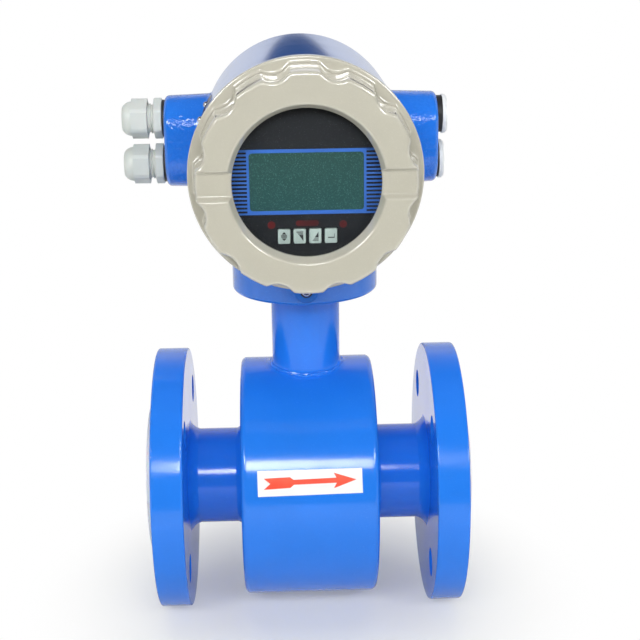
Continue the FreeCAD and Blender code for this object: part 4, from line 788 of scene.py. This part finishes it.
half_screen = screen_wide / 2
inner = half_screen + frame_wide
blue_shapes = [[(-inner, band_foot), (inner, band_foot), (inner, band_top), (-inner, band_top)]]
stripe = band_foot
while stripe < band_top - stripe_pitch / 2:
    top = min(stripe + stripe_pitch - stripe_black, band_top)
    blue_shapes += [arc_strip(stripe, top, inner, side) for side in (-1, 1)]
    stripe += stripe_pitch
blue_shapes += [arc_strip(band_top - frame_wide / 2, band_top, inner, side) for side in (-1, 1)]
blue_print = printed("blue_print", blue_shapes, ink_lift)
blue_ink = moulding("blue_ink", (0.014, 0.105, 0.470), (0.018, 0.120, 0.510), 900.0, 0.40, 0.00001)
blue_print.data.materials.append(blue_ink)
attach(blue_print, "head")

reach_x, middle_z = half_screen - screen_round, (screen_foot + screen_top) / 2
reach_z = (screen_top - screen_foot) / 2 - screen_round
film = []
for corner, (side_x, side_z) in enumerate(((1, 1), (-1, 1), (-1, -1), (1, -1))):
    for step in range(7):
        angle = math.pi / 2 * (corner + step / 6)
        film.append((side_x * reach_x + screen_round * math.cos(angle),
                     middle_z + side_z * reach_z + screen_round * math.sin(angle)))
screen_film = printed("screen_film", [film], ink_lift + ink_thick)
screen_film.data.materials.append(screen_green)
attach(screen_film, "head")

# ---------------------------------------------------------------------------------------
# Keys: four grey silicone push keys, each printed with its sign: menu, down, up and enter.
# The signs ride on the keys.
# ---------------------------------------------------------------------------------------
key_grey = moulding("key_grey", (0.46, 0.54, 0.53), (0.42, 0.50, 0.49), 1400.0, 0.30, 0.00003)
key_ink = moulding("key_ink", (0.010, 0.012, 0.016), (0.016, 0.018, 0.022), 900.0, 0.35, 0.00001)


def bar(left, right, middle, thick=0.42):
    """Level bar of a printed sign, in millimetres from the key's middle."""
    low, high = middle - thick / 2, middle + thick / 2
    return [(left, low), (right, low), (right, high), (left, high)]


signs = {
    "key_1": [[(-1.25, 1.15), (1.25, 1.15), (0, 2.55)], [(-1.25, -1.05), (0, -2.45), (1.25, -1.05)],
              bar(-1.55, 1.55, 0.70), bar(-1.65, 1.65, 0.05), bar(-1.55, 1.55, -0.60)],
    "key_2": [bar(-1.75, 1.9, 2.35, 0.5), bar(-1.2, 1.9, 1.65, 0.3), bar(-0.9, 1.9, 1.10, 0.3),
              [(-0.45, 0.75), (1.9, -2.55), (1.9, 0.75)]],
    "key_3": [[(1.7, 2.4), (-0.35, -0.85), (1.7, -0.85)], bar(-0.7, 1.7, -1.35, 0.3),
              bar(-1.1, 1.7, -1.95, 0.3), bar(-1.5, 1.7, -2.55, 0.3)],
    "key_4": [bar(-1.6, 2.0, -0.9, 0.62), [(1.75, -0.59), (2.0, -0.59), (2.0, 1.3), (1.75, 1.3)]],
}
for key, shapes in signs.items():
    clad(key_grey, key)
    low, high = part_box(key)
    middle_x, middle_z = (low.x + high.x) / 2, (low.z + high.z) / 2 - head_axis[2]
    placed = [[(middle_x + x * mm, middle_z + z * mm) for x, z in outline] for outline in shapes]
    sign = printed(f"{key}_sign", placed, panel_face - low.y + ink_lift)
    sign.data.materials.append(key_ink)
    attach(sign, key)

# ---------------------------------------------------------------------------------------
# Screwed covers: cast aluminium in satin cream powder coat with a fine sparkle. The window
# cover's ring has its finger notches, spanner slot and rounded edges modelled.
# ---------------------------------------------------------------------------------------
cream_coat = finish_with("cream_coat", enamel, {
    "Colour": (0.502, 0.483, 0.405, 1), "Nib Colour": (0.58, 0.56, 0.49, 1), "Shade": 0.05,
    "Peel Scale": 1500.0, "Nibs": 0.16, "Base Roughness": 0.20, "Coarse Beyond": -1.0}, 0.000016,
    Coat_Weight=0.90, Coat_Roughness=0.05, Coat_IOR=1.8)
clad(cream_coat, "front_cover", "rear_cover")
flange_face, ring_face, lip_face = 86.5 * mm, 115.0 * mm, 109.3 * mm
seat_face, glass_face, cavity_face = 80.03 * mm, 107.33 * mm, 94.0 * mm
window_radius, bevel_radius, cover_radius = 39.85 * mm, 42.5 * mm, 64.7 * mm
glass_seat, cavity_radius = 46.3 * mm, 52.0 * mm
spigot_radius, spigot_length = 57.9 * mm, 12.0 * mm
groove_radius, groove_width = 55.8 * mm, 2.4 * mm
ring_top, ring_foot = 59.2 * mm, 61.0 * mm
top_round, foot_round, rim_round = 1.9 * mm, 1.6 * mm, 0.9 * mm
notch_depth, notch_radius, notch_round, notches = 3.7 * mm, 9.4 * mm, 2.4 * mm, 12
slot_deep, slot_flat, slot_edge = 4.5 * mm, 5.9 * mm, 8.5 * mm


def soft_least(first, second, blend):
    """Smaller of two lengths, with the corner between them rounded."""
    share = min(max(0.5 + (second - first) / (2 * blend), 0), 1)
    return second * (1 - share) + first * share - blend * share * (1 - share)


def notch_at(angle):
    """How far a finger notch sets the ring's wall back at an angle."""
    step = math.tau / notches
    offset = angle % step - step / 2
    centre = ring_foot - notch_depth + notch_radius
    chord = notch_radius ** 2 - (centre * math.sin(offset)) ** 2
    if chord <= 0:
        return 0.0
    cut = centre * math.cos(offset) - math.sqrt(chord)
    return max(ring_foot - soft_least(ring_foot, cut, notch_round), 0.0)


def ring_height_at(radius, angle):
    """Height of the ring's face, lower along the spanner slot across the window."""
    off = abs(radius * math.sin(angle))
    share = min(max((slot_edge - off) / (slot_edge - slot_flat), 0), 1)
    return ring_face - slot_deep * share * share * (3 - 2 * share)


def cover_rows(angle):
    """(radius, height) corners of the cover's section at an angle, from the lip outwards."""
    set_back = notch_at(angle)
    rows = [(window_radius, glass_face), (window_radius, lip_face - 0.3 * mm)]
    for part in (0, 0.06, 0.25, 0.5, 0.75, 0.94):
        radius = window_radius + (bevel_radius - window_radius) * part
        height = lip_face + (ring_face - lip_face) * part
        rows.append((radius, soft_least(height, ring_height_at(radius, angle), 0.9 * mm)))
    top = ring_top - set_back * 0.86
    for part, below in ((0.03, 0.12 * mm), *((part, 0) for part in (0.08, 0.15, 0.3, 0.45, 0.6, 0.75, 0.88))):
        radius = bevel_radius + (top - top_round - bevel_radius) * part
        rows.append((radius, ring_height_at(radius, angle) - below))
    for step in range(7):
        bend = math.pi / 2 * step / 6
        radius = top - top_round * (1 - math.sin(bend))
        rows.append((radius, ring_height_at(radius, angle) - top_round * (1 - math.cos(bend))))
    foot = ring_foot - set_back
    high, low = rows[-1][1], flange_face + foot_round
    for part in (0.15, 0.35, 0.55, 0.75, 0.9, 1.0):
        rows.append((top + (foot - top) * part, high + (low - high) * part))
    for step in (1, 2, 3, 4):
        bend = math.pi / 2 * step / 4
        rows.append((foot + foot_round * (1 - math.cos(bend)),
                     flange_face + foot_round * (1 - math.sin(bend))))
    rows.append(((foot + foot_round + cover_radius) / 2, flange_face))
    for inwards, down in ((rim_round, 0), (0.45 * mm, 0.12 * mm), (0.12 * mm, 0.45 * mm), (0, rim_round)):
        rows.append((cover_radius - inwards, flange_face - down))
    rows += [(cover_radius, seat_face + 0.3 * mm), (cover_radius - 0.3 * mm, seat_face),
             (groove_radius, seat_face), (groove_radius, seat_face - groove_width),
             (spigot_radius, seat_face - groove_width), (spigot_radius, seat_face - spigot_length),
             (cavity_radius, seat_face - spigot_length), (cavity_radius, cavity_face),
             (glass_seat, cavity_face), (glass_seat, glass_face)]
    return rows


cover_steps = 1080
angles = [math.tau * step / cover_steps for step in range(cover_steps)]
sections = [cover_rows(angle) for angle in angles]
points = [(radius * math.cos(angle), -height, head_axis[2] + radius * math.sin(angle))
          for ring in zip(*sections) for angle, (radius, height) in zip(angles, ring)]
faces = between_rings(len(sections[0]), cover_steps, shut=True)
window_cover = modelled("window_cover", points, faces, sharp=60)
window_cover.data.materials.append(cream_coat)
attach(window_cover, "front_cover")
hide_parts("front_cover")

# ---------------------------------------------------------------------------------------
# Window: a disc of clear toughened glass set on its gasket behind the cover's bevel, with
# the faint green of its edge.
# ---------------------------------------------------------------------------------------
clear_glass, tree, shader = new_material("clear_glass")
shader.inputs["Base Color"].default_value = (0.97, 0.99, 0.98, 1)
shader.inputs["Transmission Weight"].default_value = 1.0
shader.inputs["IOR"].default_value = 1.45
smears = noise(tree, add(tree, "ShaderNodeTexCoord").outputs["Object"], 40.0, 3.0)
tree.links.new(ranged(tree, smears, 0.0, 1.0, 0.0, 0.02), shader.inputs["Roughness"])
clear = add(tree, "ShaderNodeBsdfTransparent", {"Color": (0.96, 0.98, 0.97, 1)}).outputs[0]
path = add(tree, "ShaderNodeLightPath").outputs
lit_through = maths(tree, "MAXIMUM", path["Is Shadow Ray"], path["Is Diffuse Ray"])
both = add(tree, "ShaderNodeMixShader", {0: lit_through, 1: shader.outputs[0], 2: clear}).outputs[0]
tree.links.new(both, tree.nodes["Material Output"].inputs["Surface"])
clad(clear_glass, "window_glass")
